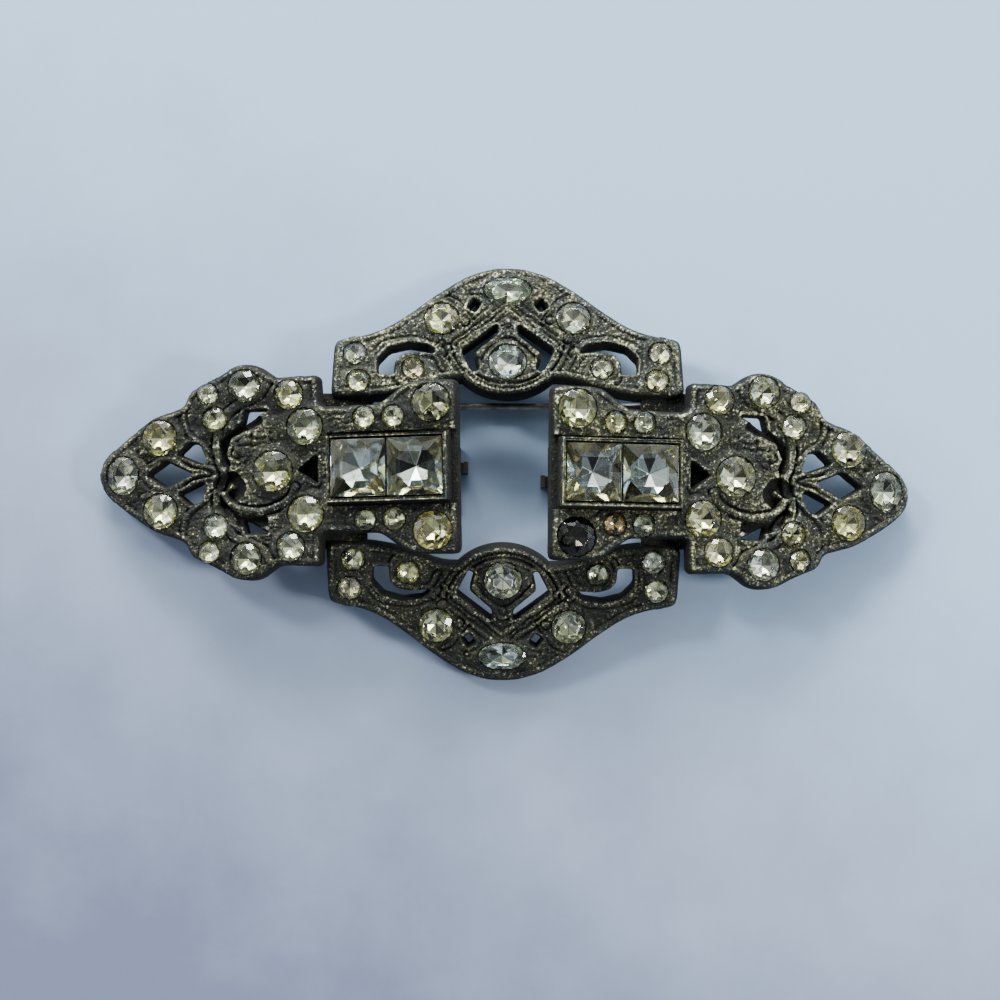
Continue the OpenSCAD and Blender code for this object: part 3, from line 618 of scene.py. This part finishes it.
def casting(name, place, loop, metal, relief, stones, base, material):
    """A plate with a relief face: a fine grid whose edge vertices sit on the outline, walls and a back."""
    lo, hi = loop.min(0) - MARGIN, loop.max(0) + MARGIN
    us, vs = np.arange(lo[0], hi[0], CELL), np.arange(lo[1], hi[1], CELL)
    grid = np.stack(np.meshgrid(us, vs, indexing="ij"), -1)
    shape = grid.shape[:2]
    inside = metal(grid.reshape(-1, 2))[0].reshape(shape)
    corner = inside > GRID_EDGE
    cell = corner[:-1, :-1] & corner[1:, :-1] & corner[:-1, 1:] & corner[1:, 1:]
    used = np.zeros(shape, bool)
    near = np.zeros(shape, int)
    for i in (0, 1):
        for j in (0, 1):
            part = (slice(i, shape[0] - 1 + i), slice(j, shape[1] - 1 + j))
            used[part] |= cell
            near[part] += cell
    border = used & (near < 4)
    slope = np.stack(np.gradient(inside, CELL), -1)
    slope /= np.maximum(np.linalg.norm(slope, axis=-1, keepdims=True), LEAST_SLOPE)
    reach = np.where(border, np.minimum(inside, SNAP * CELL), 0)[..., None]
    grid = grid - slope * reach
    index = np.full(shape, -1)
    index[used] = np.arange(used.sum())
    flat = grid[used]
    top = relief(flat, *metal(flat))
    full = np.zeros(shape)
    full[used] = np.where(seats(flat, stones), base + CREST, np.minimum(top, base + CREST))
    cavity = above_mean(full, used, NEAR, 2)
    cavity = (cavity + WIDE_SHARE * np.minimum(above_mean(full, used, WIDE, 3), WIDE_MOST))[used]
    quads = (index[:-1, :-1], index[1:, :-1], index[1:, 1:], index[:-1, 1:])
    faces = np.stack([corners[cell] for corners in quads], 1)
    sides = np.concatenate([faces[:, [0, 1]], faces[:, [1, 2]], faces[:, [2, 3]], faces[:, [3, 0]]])
    key = np.sort(sides, 1)
    _, first, count = np.unique(key, axis=0, return_index=True, return_counts=True)
    rim = sides[first[count == 1]]
    ring = np.unique(rim)
    back_of = np.full(len(flat), -1)
    back_of[ring] = len(flat) + np.arange(len(ring))
    walls = np.stack([rim[:, 1], rim[:, 0], back_of[rim[:, 0]], back_of[rim[:, 1]]], 1)
    back = np.column_stack([flat[ring], np.zeros(len(ring))])
    points = np.vstack([np.column_stack([flat, top]), back])
    all_faces = np.vstack([faces, walls])
    if place.flips():
        all_faces = all_faces[:, ::-1]
    mesh = new_mesh(name, np.maximum(place.out(points), OVER_PAPER).tolist(), all_faces.tolist())
    wear = np.concatenate([cavity, np.full(len(ring), WALL_WEAR)])
    mesh.attributes.new("cavity", "FLOAT", "POINT").data.foreach_set("value", wear)
    close_back(mesh, len(flat))
    obj = smooth_object(name, mesh, material)
    mesh.set_sharp_from_angle(angle=SHARP_WALL)
    return obj


def close_back(mesh, first_back):
    """Fills the back between the walls' lower edges, round the gaps."""
    bm = bmesh.new()
    bm.from_mesh(mesh)
    bm.verts.ensure_lookup_table()
    edges = [e for e in bm.edges if e.is_boundary and all(v.index >= first_back for v in e.verts)]
    bmesh.ops.triangle_fill(bm, use_beauty=True, use_dissolve=False, edges=edges)
    bmesh.ops.recalc_face_normals(bm, faces=bm.faces)
    bm.to_mesh(mesh)
    bm.free()


def new_object(name, data):
    obj = bpy.data.objects.new(name, data)
    bpy.context.scene.collection.objects.link(obj)
    return obj


def new_mesh(name, points, faces):
    mesh = bpy.data.meshes.new(name)
    mesh.from_pydata(points, [], faces)
    return mesh


def smooth_object(name, mesh, material):
    mesh.materials.append(material)
    mesh.update()
    mesh.polygons.foreach_set("use_smooth", [True] * len(mesh.polygons))
    return new_object(name, mesh)


def bevelled(name, parts, material, body, bevel):
    """One object of several closed meshes, each a list of points and faces in millimetres."""
    points, faces = [], []
    for verts, polys in parts:
        faces += [[i + len(points) for i in poly] for poly in polys]
        points += [tuple(c * MM for c in v) for v in verts]
    mesh = new_mesh(name, points, faces)
    obj = smooth_object(name, mesh, material)
    soft = obj.modifiers.new("soft edges", "BEVEL")
    soft.width, soft.segments, soft.limit_method = bevel * MM, 3, "ANGLE"
    soft.harden_normals = True
    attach(obj, body)
    return obj


def block(lo, hi):
    (x0, y0, z0), (x1, y1, z1) = lo, hi
    points = [(x, y, z) for z in (z0, z1) for x, y in ((x0, y0), (x1, y0), (x1, y1), (x0, y1))]
    faces = [(0, 3, 2, 1), (4, 5, 6, 7), (0, 1, 5, 4), (1, 2, 6, 5), (2, 3, 7, 6), (3, 0, 4, 7)]
    return points, faces


def bored_ear(x, y, half_w, thick, z_mid, z_low, z_high, bore, steps=EAR_STEPS):
    """A plate across Y with a round bore along Y."""
    points, faces = [], []
    for end in (-1, 1):
        outer, inner = [], []
        for k in range(steps):
            a = 2 * math.pi * k / steps
            c, s = math.cos(a), math.sin(a)
            up = (z_high if s > 0 else z_low) - z_mid
            reach = min(half_w / max(abs(c), TINY), abs(up) / max(abs(s), TINY))
            for ring, radius in ((outer, reach), (inner, bore / 2)):
                ring.append((x + radius * c, y + end * thick / 2, z_mid + radius * s))
        points += outer + inner
    for k in range(steps):
        near_out, near_in, far_out, far_in = (
            (first + k, first + (k + 1) % steps) for first in range(0, 4 * steps, steps))
        sides = ((near_out, near_in), (far_in, far_out), (near_out[::-1], far_out[::-1]), (near_in, far_in))
        faces += [(*a, *b[::-1]) for a, b in sides]
    return points, faces


def extruded(profile, x0, x1):
    """A profile in Y and Z, drawn out along X."""
    n = len(profile)
    points = [(x0, y, z) for y, z in profile] + [(x1, y, z) for y, z in profile]
    faces = [tuple(range(n))[::-1], tuple(range(n, 2 * n))]
    faces += [(i, (i + 1) % n, n + (i + 1) % n, n + i) for i in range(n)]
    return points, faces


def catch_profile():
    """The catch's hook round the stem, open on its far side, and its root in the rail."""
    bore = STEM_D / 2 + PIN_GAP
    outer = bore + EAR_T

    def arc(radius, start, end, count):
        turns = np.radians(np.linspace(start, end, count))
        return [(STEM_Y + radius * math.cos(t), STEM_Z + radius * math.sin(t)) for t in turns]

    root = [(STEM_Y + outer, RAIL_Z + ROOT), (STEM_Y, RAIL_Z + ROOT)]
    over = arc(outer, 90, HOOK_OUT, 8)
    return arc(outer, -HOOK_OUT, 0, 16) + root + over + arc(bore, HOOK_IN, -HOOK_IN, 20)


# ---- stones

# Cut of a stone: shares of its size at its table, at the stars' tips and at the back's bend, for
# square and for round ones, then the stars' share of the crown, the girdle's width and taper, and
# the rise of the shallow facets round the back's tip
SQUARE_CUT, ROUND_CUT, SIDES = (0.5, 0.76, 0.64), (0.54, 0.8, 0.6), 8
STAR_UP, GIRDLE_W, GIRDLE_IN, INNER_SLOPE = 0.56, 0.08, 0.985, 0.3


def stone_mesh(along, across, square, crown, depth):
    """Points and faces of a cut stone about its widest line: table, stars, kites, girdle and foiled back."""
    table, star, back_at, sides = *(SQUARE_CUT if square else ROUND_CUT), SIDES
    back_z = INNER_SLOPE * back_at * min(along, across) / 2 - depth

    def ring(count, share, level, shift=0.0):
        points = []
        for i in range(count):
            a = 2 * math.pi * (i + shift) / count + (0 if square else math.pi / sides)
            reach = share / 2 / (max(abs(math.cos(a)), abs(math.sin(a))) if square else 1)
            points.append((along * reach * math.cos(a), across * reach * math.sin(a), level))
        return points

    points, starts = [], []
    for own in (ring(sides, table, crown), ring(sides, star, crown * STAR_UP, 0.5), ring(2 * sides, 1, 0),
                ring(2 * sides, GIRDLE_IN, -GIRDLE_W), ring(sides, back_at, back_z, 0.5)):
        starts.append(len(points))
        points += own
    culet = len(points)
    points.append((0, 0, -depth))
    t, s, g, lo, b = starts
    m = 2 * sides
    crown_faces = [tuple(t + i for i in range(sides))]
    back_faces = []
    for i in range(sides):
        j, h = (i + 1) % sides, (i - 1) % sides
        crown_faces += [(t + j, t + i, s + i), (t + i, s + h, g + 2 * i), (t + i, g + 2 * i, s + i)]
        crown_faces += [(s + i, g + 2 * i, g + 2 * i + 1), (s + i, g + 2 * i + 1, g + (2 * i + 2) % m)]
        back_faces += [(lo + 2 * i, b + h, b + i), (b + i, b + h, culet)]
        back_faces += [(lo + 2 * i + 1, lo + 2 * i, b + i), (lo + (2 * i + 2) % m, lo + 2 * i + 1, b + i)]
    for i in range(m):
        j = (i + 1) % m
        crown_faces.append((g + i, lo + i, lo + j, g + j))
    return np.array(points), crown_faces, back_faces


def add_stone_piece(node, placed, body, glass, foil):
    """One piece of cut stones that stands for a CAD node, from pairs of a place and a stone."""
    points, faces, slots, tints = [], [], [], []
    for place, stone in placed:
        girdle = stone["top"] - CROWN_H
        square = "square" in node
        own, crown_faces, back_faces = stone_mesh(*stone["size"], square, CROWN_H, girdle - stone["low"])
        base = len(points)
        lean = rotation("X", RNG.uniform(-LEAN, LEAN)) @ rotation("Y", RNG.uniform(-LEAN, LEAN))
        points += place.out(own @ lean.T + (*stone["at"], girdle)).tolist()
        tone = stone_tone(node, stone["at"])
        culet = len(own) - 1
        for kind, polys in ((0, crown_faces), (1, back_faces)):
            for poly in polys:
                faces.append([i + base for i in (reversed(poly) if place.flips() else poly)])
                slots.append(kind)
                aged = square and culet not in poly and RNG.random() < GLUED
                tints += [[*facet_tone(np.array(GLUE if aged else tone), square), 1.0]] * len(poly)
    mesh = new_mesh(node + "_cut", points, faces)
    for material in (glass, foil):
        mesh.materials.append(material)
    mesh.polygons.foreach_set("material_index", slots)
    mesh.attributes.new("tint", "FLOAT_COLOR", "CORNER").data.foreach_set("color", np.ravel(tints))
    mesh.update()
    obj = new_object(node + "_cut", mesh)
    worn = obj.modifiers.new("worn edges", "BEVEL")
    worn.width, worn.segments, worn.limit_method, worn.angle_limit = WORN_EDGE * MM, 1, "ANGLE", SHARP
    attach(obj, body)
    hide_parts(node)


# ---- materials

class Graph:
    """The nodes that feed one shader, wired by short calls."""

    def __init__(self, tree, shader):
        self.nodes, self.links, self.shader = tree.nodes, tree.links, tree.nodes[shader]

    def feed(self, name, value):
        self.wire(value, self.shader.inputs[name])

    def wire(self, value, socket):
        if isinstance(value, (int, float)):
            socket.default_value = value
        elif isinstance(value, tuple):
            socket.default_value = (*value, 1)
        else:
            self.links.new(value, socket)

    def math(self, operation, *values, clamp=False):
        node = self.nodes.new("ShaderNodeMath")
        node.operation, node.use_clamp = operation, clamp
        for value, socket in zip(values, node.inputs):
            self.wire(value, socket)
        return node.outputs[0]

    def mix(self, factor, a, b, blend="MIX"):
        node = self.nodes.new("ShaderNodeMix")
        node.data_type, node.blend_type = "RGBA", blend
        for value, socket in ((factor, 0), (a, 6), (b, 7)):
            self.wire(value, node.inputs[socket])
        return node.outputs[2]

    def ramp(self, source, stops):
        """Colours, or levels of grey, over a value."""
        node = self.nodes.new("ShaderNodeValToRGB")
        self.links.new(source, node.inputs[0])
        elements = node.color_ramp.elements
        while len(elements) < len(stops):
            elements.new(0.5)
        for element, (position, tone) in zip(elements, stops):
            element.position = position
            element.color = (*(tone if isinstance(tone, tuple) else (tone, tone, tone)), 1)
        return node.outputs[0]

    def attribute(self, name, output):
        node = self.nodes.new("ShaderNodeAttribute")
        node.attribute_name = name
        return node.outputs[output]

    def coordinates(self, space="Object"):
        return self.nodes.new("ShaderNodeTexCoord").outputs[space]

    def axes(self, space="Object"):
        node = self.nodes.new("ShaderNodeSeparateXYZ")
        self.links.new(self.coordinates(space), node.inputs[0])
        return node.outputs

    def noise(self, scale, space="Object", **inputs):
        return self.texture("ShaderNodeTexNoise", scale, space, **inputs).outputs["Fac"]

    def texture(self, kind, scale, space="Object", **inputs):
        node = self.nodes.new(kind)
        self.links.new(self.coordinates(space), node.inputs["Vector"])
        node.inputs["Scale"].default_value = scale
        for key, value in inputs.items():
            node.inputs[key].default_value = value
        return node

    def bump(self, height, strength, depth):
        node = self.nodes.new("ShaderNodeBump")
        node.inputs["Strength"].default_value = strength
        node.inputs["Distance"].default_value = depth * MM
        self.links.new(height, node.inputs["Height"])
        self.feed("Normal", node.outputs[0])


def new_material(name, **constants):
    """A material and its graph, with constants set on the shader's own sockets."""
    material = bpy.data.materials.new(name)
    material.use_nodes = True
    graph = Graph(material.node_tree, "Principled BSDF")
    for key, value in constants.items():
        graph.shader.inputs[key.replace("_", " ")].default_value = value
    return material, graph


# Cast metal: level of its ground, how far dirt and painted shade lower it, and how far cavity, specks and
# patches move it
GROUND, DIRT_AND_SHADE, CAVITY, SPECKS, PATCHES, TINTED = 0.44, -0.07, 1.35, 2.3, 1.0, 0.8
METAL_TONES = [
    (0.0, (0.004, 0.004, 0.003)), (0.28, (0.018, 0.02, 0.016)), (0.5, (0.062, 0.068, 0.055)),
    (0.72, (0.16, 0.172, 0.146)), (0.95, (0.58, 0.6, 0.55)),
]
FLECK, COOL_TINT, BROWN_TINT = (0.52, 0.53, 0.48), (0.9, 1.0, 0.97), (1.0, 0.94, 0.62)


def cast_metal(name, dirt_and_shade, warmth=1.0):
    """Aged white metal: dark in its recesses, yellow-brown in patches, bright on its worn crests, and
    darkened as a whole by an amount per piece that is partly dirt and partly painted shade.
    """
    material, graph = new_material(name)
    patches = graph.noise(420, Detail=6.0, Roughness=0.65)
    specks = graph.noise(5200, Detail=4.0, Roughness=0.75)
    fine = graph.texture("ShaderNodeTexVoronoi", 5200).outputs["Distance"]
    cells = graph.texture("ShaderNodeTexVoronoi", 5000).outputs["Color"]
    ground = GROUND + DIRT_AND_SHADE * dirt_and_shade - (SPECKS + PATCHES) / 2
    level = graph.math("MULTIPLY_ADD", graph.attribute("cavity", "Fac"), CAVITY, ground)
    level = graph.math("MULTIPLY_ADD", specks, SPECKS, level)
    level = graph.math("MULTIPLY_ADD", patches, PATCHES, level, clamp=True)
    bright, bare = graph.ramp(cells, [(0.7, 0), (0.78, 1)]), graph.ramp(level, [(0.35, 0), (0.5, 1)])
    tone = graph.mix(graph.math("MULTIPLY", bright, bare), graph.ramp(level, METAL_TONES), FLECK)
    tint = graph.mix(graph.ramp(patches, [(0.38, 0), (0.56, 1)]), COOL_TINT, BROWN_TINT)
    graph.feed("Base Color", graph.mix(TINTED * warmth, tone, tint, "MULTIPLY"))
    graph.feed("Metallic", graph.ramp(level, [(0.15, 0.2), (0.6, 0.9)]))
    graph.feed("Roughness", graph.ramp(level, [(0.1, 0.8), (0.55, 0.45), (0.95, 0.24)]))
    graph.bump(graph.math("ADD", specks, fine), 0.8, 0.06)
    return material


def steel(name, colour, roughness):
    """Drawn or rolled steel strip, with dull patches."""
    material, graph = new_material(name, Metallic=1.0)
    patches = graph.noise(500, Detail=6.0, Roughness=0.7)
    dark, light = (tuple(min(1, c * share) for c in colour) for share in (0.35, 1.3))
    graph.feed("Base Color", graph.ramp(patches, [(0.3, dark), (0.55, colour), (0.8, light)]))
    graph.feed("Roughness", graph.ramp(patches, [(0.3, roughness + 0.2), (0.7, roughness)]))
    graph.bump(graph.noise(6000, Detail=3.0), 0.3, 0.02)
    return material


def clear_glass():
    material, graph = new_material(
        "clear glass", Base_Color=(0.97, 0.98, 0.92, 1), Transmission_Weight=1.0, IOR=1.56)
    haze = graph.noise(900, Detail=5.0, Roughness=0.7)
    graph.feed("Roughness", graph.ramp(haze, [(0.55, 0), (0.8, 0.03)]))
    return material


def stone_foil():
    """Foil behind the glass: mirror-bright, tinted by its own age, with a painted reflection of blue sky
    light on some stones, and dull where it has failed.
    """
    material, graph = new_material("stone foil", Metallic=0.92, Roughness=0.035)
    stains = graph.noise(450, Detail=5.0, Roughness=0.6)
    dull = graph.ramp(stains, [(0.36, (0.42, 0.41, 0.25)), (0.5, 1)])
    graph.feed("Base Color", graph.mix(0.7, graph.attribute("tint", "Color"), dull, "MULTIPLY"))
    return material


# ---- building

# Tones of the stones' foils, and how much one facet differs from the next; the blue one is a painted
# reflection of sky light
SKY_REFLECTION_BLUE, CLEAR, GREY = (0.85, 0.96, 1.0), (0.93, 0.98, 0.95), (0.72, 0.75, 0.62)
CHAMPAGNE, STRAW, AMBER = (0.97, 0.94, 0.64), (0.97, 0.98, 0.76), (0.8, 0.62, 0.36)
BLACK, GLUE, GLUED = (0.03, 0.028, 0.03), (0.6, 0.57, 0.36), 0.65
USUAL_TONES = [CHAMPAGNE, CHAMPAGNE, STRAW, STRAW, STRAW, GREY, CLEAR]
FACET_SHADES = (0.08, 0.5, 0.9, 1.0)
FACET_ODDS, SQUARE_ODDS = (0.14, 0.2, 0.22, 0.44), (0.07, 0.13, 0.2, 0.6)
# Place of the one amber stone, how near it a stone has to be, and two levels that count as the same
AMBER_AT, ROW_APART, SAME_LEVEL = np.array([0.455 * BLOCK_L, -0.8 * BLOCK_HALF]), 0.8, 0.05
WARM, SQUARE_WARM_MOST, WARM_MOST = (1, 1, 0.84), 0.5, 2


def stone_tone(node, at):
    if node == "right_lower_flare_stone":
        return BLACK
    if node == "right_small_stones" and np.hypot(*(at - AMBER_AT)) < ROW_APART:
        return AMBER
    # These stones get the blue tone, a painted reflection of sky light in their facets.
    if "square" in node or "oval" in node or node == "top_centre_stone":
        return SKY_REFLECTION_BLUE
    if "tip" in node or node == "bottom_centre_stone":
        return CLEAR
    return USUAL_TONES[RNG.integers(len(USUAL_TONES))]


def facet_tone(tone, square):
    warm = np.array(WARM) ** RNG.uniform(0, SQUARE_WARM_MOST if square else WARM_MOST)
    return tone * warm * RNG.choice(FACET_SHADES, p=SQUARE_ODDS if square else FACET_ODDS)


def build_clip(side, metal_material, glass, foil):
    word = "left" if side < 0 else "right"
    place, body = clip_place(side), word + "_clip"
    nodes = nodes_of(word + "_")
    stones = [s for n in nodes if "square" not in n for s in loose_stones(n, place)]
    loop, gaps = clip_loop(side), clip_gap_loops(side)

    def metal(points):
        edge, along = polygon_field(points, loop)
        return with_gaps(points, edge, gaps), along, edge

    def relief(points, inside, along, edge):
        return clip_height(points, side, stones, inside, edge, along)

    obj = casting(word + "_clip_casting", place, loop, metal, relief, stones, CLIP_T, metal_material)
    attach(obj, body)
    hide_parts(body)
    for node in nodes:
        add_stone_piece(node, [(place, s) for s in loose_stones(node, place)], body, glass, foil)


def build_arch(end, metal_material, glass, foil):
    word = "top" if end > 0 else "bottom"
    place = arch_place(end)
    own = {node: loose_stones(node, place) for node in nodes_of(word + "_")}
    stones = sum(own.values(), small_arch_stones(place))
    loop, gaps = arch_loop(), arch_gap_loops()

    def metal(points):
        edge, along = polygon_field(points, loop)
        edge = np.maximum(edge, almond_field(points)[0])
        return with_gaps(points, edge, gaps), along, edge

    def relief(points, inside, along, edge):
        return arch_height(points, stones, inside, edge, along)

    obj = casting(word + "_arch_casting", place, loop, metal, relief, stones, ARCH_T, metal_material)
    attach(obj, "frame")
    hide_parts("brooch_frame")
    for node in own:
        add_stone_piece(node, [(place, s) for s in own[node]], "frame", glass, foil)


def small_arch_stones(place):
    """The frame's small stones that sit on the face of the arch at this place."""
    face = ARCH_T + RELIEF_H + CROWN_H
    return [s for s in loose_stones("frame_small_stones", place) if abs(s["top"] - face) < SAME_LEVEL]


def build_rails(material):
    parts = []
    reach = ARM_GAP_HALF + RAIL_ROOT * ARCH_RISE
    for side in (-1, 1):
        x0, x1 = sorted((side * RAIL_END, side * (RAIL_END - RAIL_W)))
        parts.append(block((x0, -reach, RAIL_Z), (x1, reach, RAIL_Z + RAIL_T)))
    for end in (-1, 1):
        y = STEM_Y + end * (KNUCKLE_W / 2 + PIECE_GAP + EAR_T / 2)
        parts.append(bored_ear(STEM_HALF, y, KNUCKLE_D / 2, EAR_T, STEM_Z, STEM_Z - KNUCKLE_D / 2,
                               RAIL_Z + ROOT, TRUNNION_D + 2 * PIN_GAP))
    parts.append(extruded(catch_profile(), -STEM_HALF, -STEM_HALF + CATCH_L))
    obj = bevelled("side_rails", parts, material, "frame", RAIL_BEVEL)
    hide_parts("brooch_frame")


def dress_steel():
    pin = steel("pin steel", (0.34, 0.33, 0.31), 0.3)
    lever = steel("lever steel", (0.07, 0.07, 0.065), 0.45)
    for node, material in (("brooch_pin", pin), ("left_clip_lever", lever), ("right_clip_lever", lever)):
        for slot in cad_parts[node].material_slots:
            slot.material = material


# Paper: half its size in metres, its painted shade from dark at the near left to light at the far right
# (light falling off and shadow painted into its colour), how fast that changes over X and Y, and the share
# and shift of its mottle
PAPER_HALF, SHADE_X, SHADE_Y, MOTTLE, MOTTLE_SHIFT = 1.2, 4.0, 8.0, 0.4, 0.3
PAPER_SHADE_TONES = [(0.0, (0.185, 0.22, 0.345)), (0.32, (0.365, 0.45, 0.62)), (0.7, (0.51, 0.72, 1.0))]


def build_floor():
    corners = [(x * PAPER_HALF, y * PAPER_HALF, 0) for x, y in ((-1, -1), (1, -1), (1, 1), (-1, 1))]
    mesh = new_mesh("paper floor", corners, [(0, 1, 2, 3)])
    material, graph = new_material("pale paper", Roughness=0.85)
    x, y, _ = graph.axes()
    place = graph.math("ADD", graph.math("MULTIPLY", x, SHADE_X), graph.math("MULTIPLY", y, SHADE_Y))
    mottle = graph.math("MULTIPLY_ADD", graph.noise(60, Detail=8.0, Roughness=0.6), MOTTLE, MOTTLE_SHIFT)
    # Painted shade: the paper's colour darkens and turns bluer towards the near left.
    graph.feed("Base Color", graph.ramp(graph.math("ADD", place, mottle), PAPER_SHADE_TONES))
    graph.bump(graph.noise(2500, Detail=4.0), 0.15, 0.05)
    mesh.materials.append(material)
    obj = new_object("paper_floor", mesh)


# The room's light over Y, over Z and in patches, then each lamp's place, size in metres, watts and colour
ROOM_TONES = [
    (0.05, (0.2, 0.22, 0.25)), (0.42, (0.3, 0.33, 0.38)), (0.6, (0.95, 1.0, 1.04)), (0.88, (2.1, 2.2, 2.25)),
]
OVERHEAD, CLUTTER = [(0.3, 1), (0.75, 0.45), (0.93, 0.1)], [(0.44, 0.3), (0.56, 1.75)]
CLUTTER_SCALE, ROOM_STRENGTH = 2.6, 1.6
LAMPS = {
    "window": ((-0.06, 0.46, 0.2), (0.24, 0.1), 3.2, (1.0, 1.0, 0.98)),
    "lamp": ((0.42, -0.1, 0.3), (0.09, 0.09), 1.5, (1.0, 0.99, 0.95)),
    "second lamp": ((-0.36, 0.3, 0.34), (0.09, 0.09), 1.7, (0.94, 0.98, 1.0)),
}


def build_light():
    world = bpy.data.worlds.new("studio")
    bpy.context.scene.world = world
    world.use_nodes = True
    graph = Graph(world.node_tree, "Background")
    _, y, z = graph.axes("Generated")
    room = graph.ramp(graph.math("MULTIPLY_ADD", y, 0.5, 0.5), ROOM_TONES)
    clutter = graph.ramp(graph.noise(CLUTTER_SCALE, "Generated"), CLUTTER)
    room = graph.mix(1.0, room, clutter, "MULTIPLY")
    graph.feed("Color", graph.mix(1.0, room, graph.ramp(z, OVERHEAD), "MULTIPLY"))
    graph.feed("Strength", ROOM_STRENGTH)
    for name, (at, size, power, colour) in LAMPS.items():
        data = bpy.data.lights.new(name, "AREA")
        data.shape, data.size, data.size_y = "RECTANGLE", *size
        data.energy, data.color = power, colour
        obj = new_object(name, data)
        obj.location = at
        obj.rotation_euler = (-Vector(at)).to_track_quat("-Z", "Y").to_euler()


# Camera fitted to the stones' places in the photograph
VIEW_TILT, VIEW_ROLL, VIEW_FAR, VIEW_AT = 3.55, -0.09, 260.0, (-0.41, -2.48)
FOCAL_PX, PHOTO_PX, SENSOR = 2691.7, 1000, 36.0


def build_camera():
    data = bpy.data.cameras.new("camera")
    data.sensor_fit, data.sensor_width = "HORIZONTAL", SENSOR
    data.lens = SENSOR * FOCAL_PX / PHOTO_PX
    data.clip_start, data.clip_end = 0.01, 10
    obj = new_object("camera", data)
    turn = rotation("Z", -VIEW_ROLL) @ rotation("X", VIEW_TILT)
    at = turn @ np.array([*VIEW_AT, VIEW_FAR]) * MM
    obj.matrix_world = Matrix.Translation(at.tolist()) @ Matrix(turn.tolist()).to_4x4()
    bpy.context.scene.camera = obj


# The amount per piece is partly dirt and partly painted shade: the left clip and the bottom arch get more
# because they lie in shade.
clip_metals = {
    -1: cast_metal("left clip metal", dirt_and_shade=3.6),
    1: cast_metal("right clip metal", dirt_and_shade=2.1, warmth=1.1),
}
arch_metals = {
    1: cast_metal("top arch metal", dirt_and_shade=1.6),
    -1: cast_metal("bottom arch metal", dirt_and_shade=3.2),
}
glass_material, foil_material = clear_glass(), stone_foil()
for which in (-1, 1):
    build_clip(which, clip_metals[which], glass_material, foil_material)
    build_arch(which, arch_metals[which], glass_material, foil_material)
arches = [arch_place(end) for end in (1, -1)]
small_stones = [(place, stone) for place in arches for stone in small_arch_stones(place)]
add_stone_piece("frame_small_stones", small_stones, "frame", glass_material, foil_material)
# The rails' large amount is partly painted shade, for their place in shadow under the clips.
build_rails(cast_metal("rail metal", dirt_and_shade=3.4))
dress_steel()
build_floor()
build_light()
build_camera()
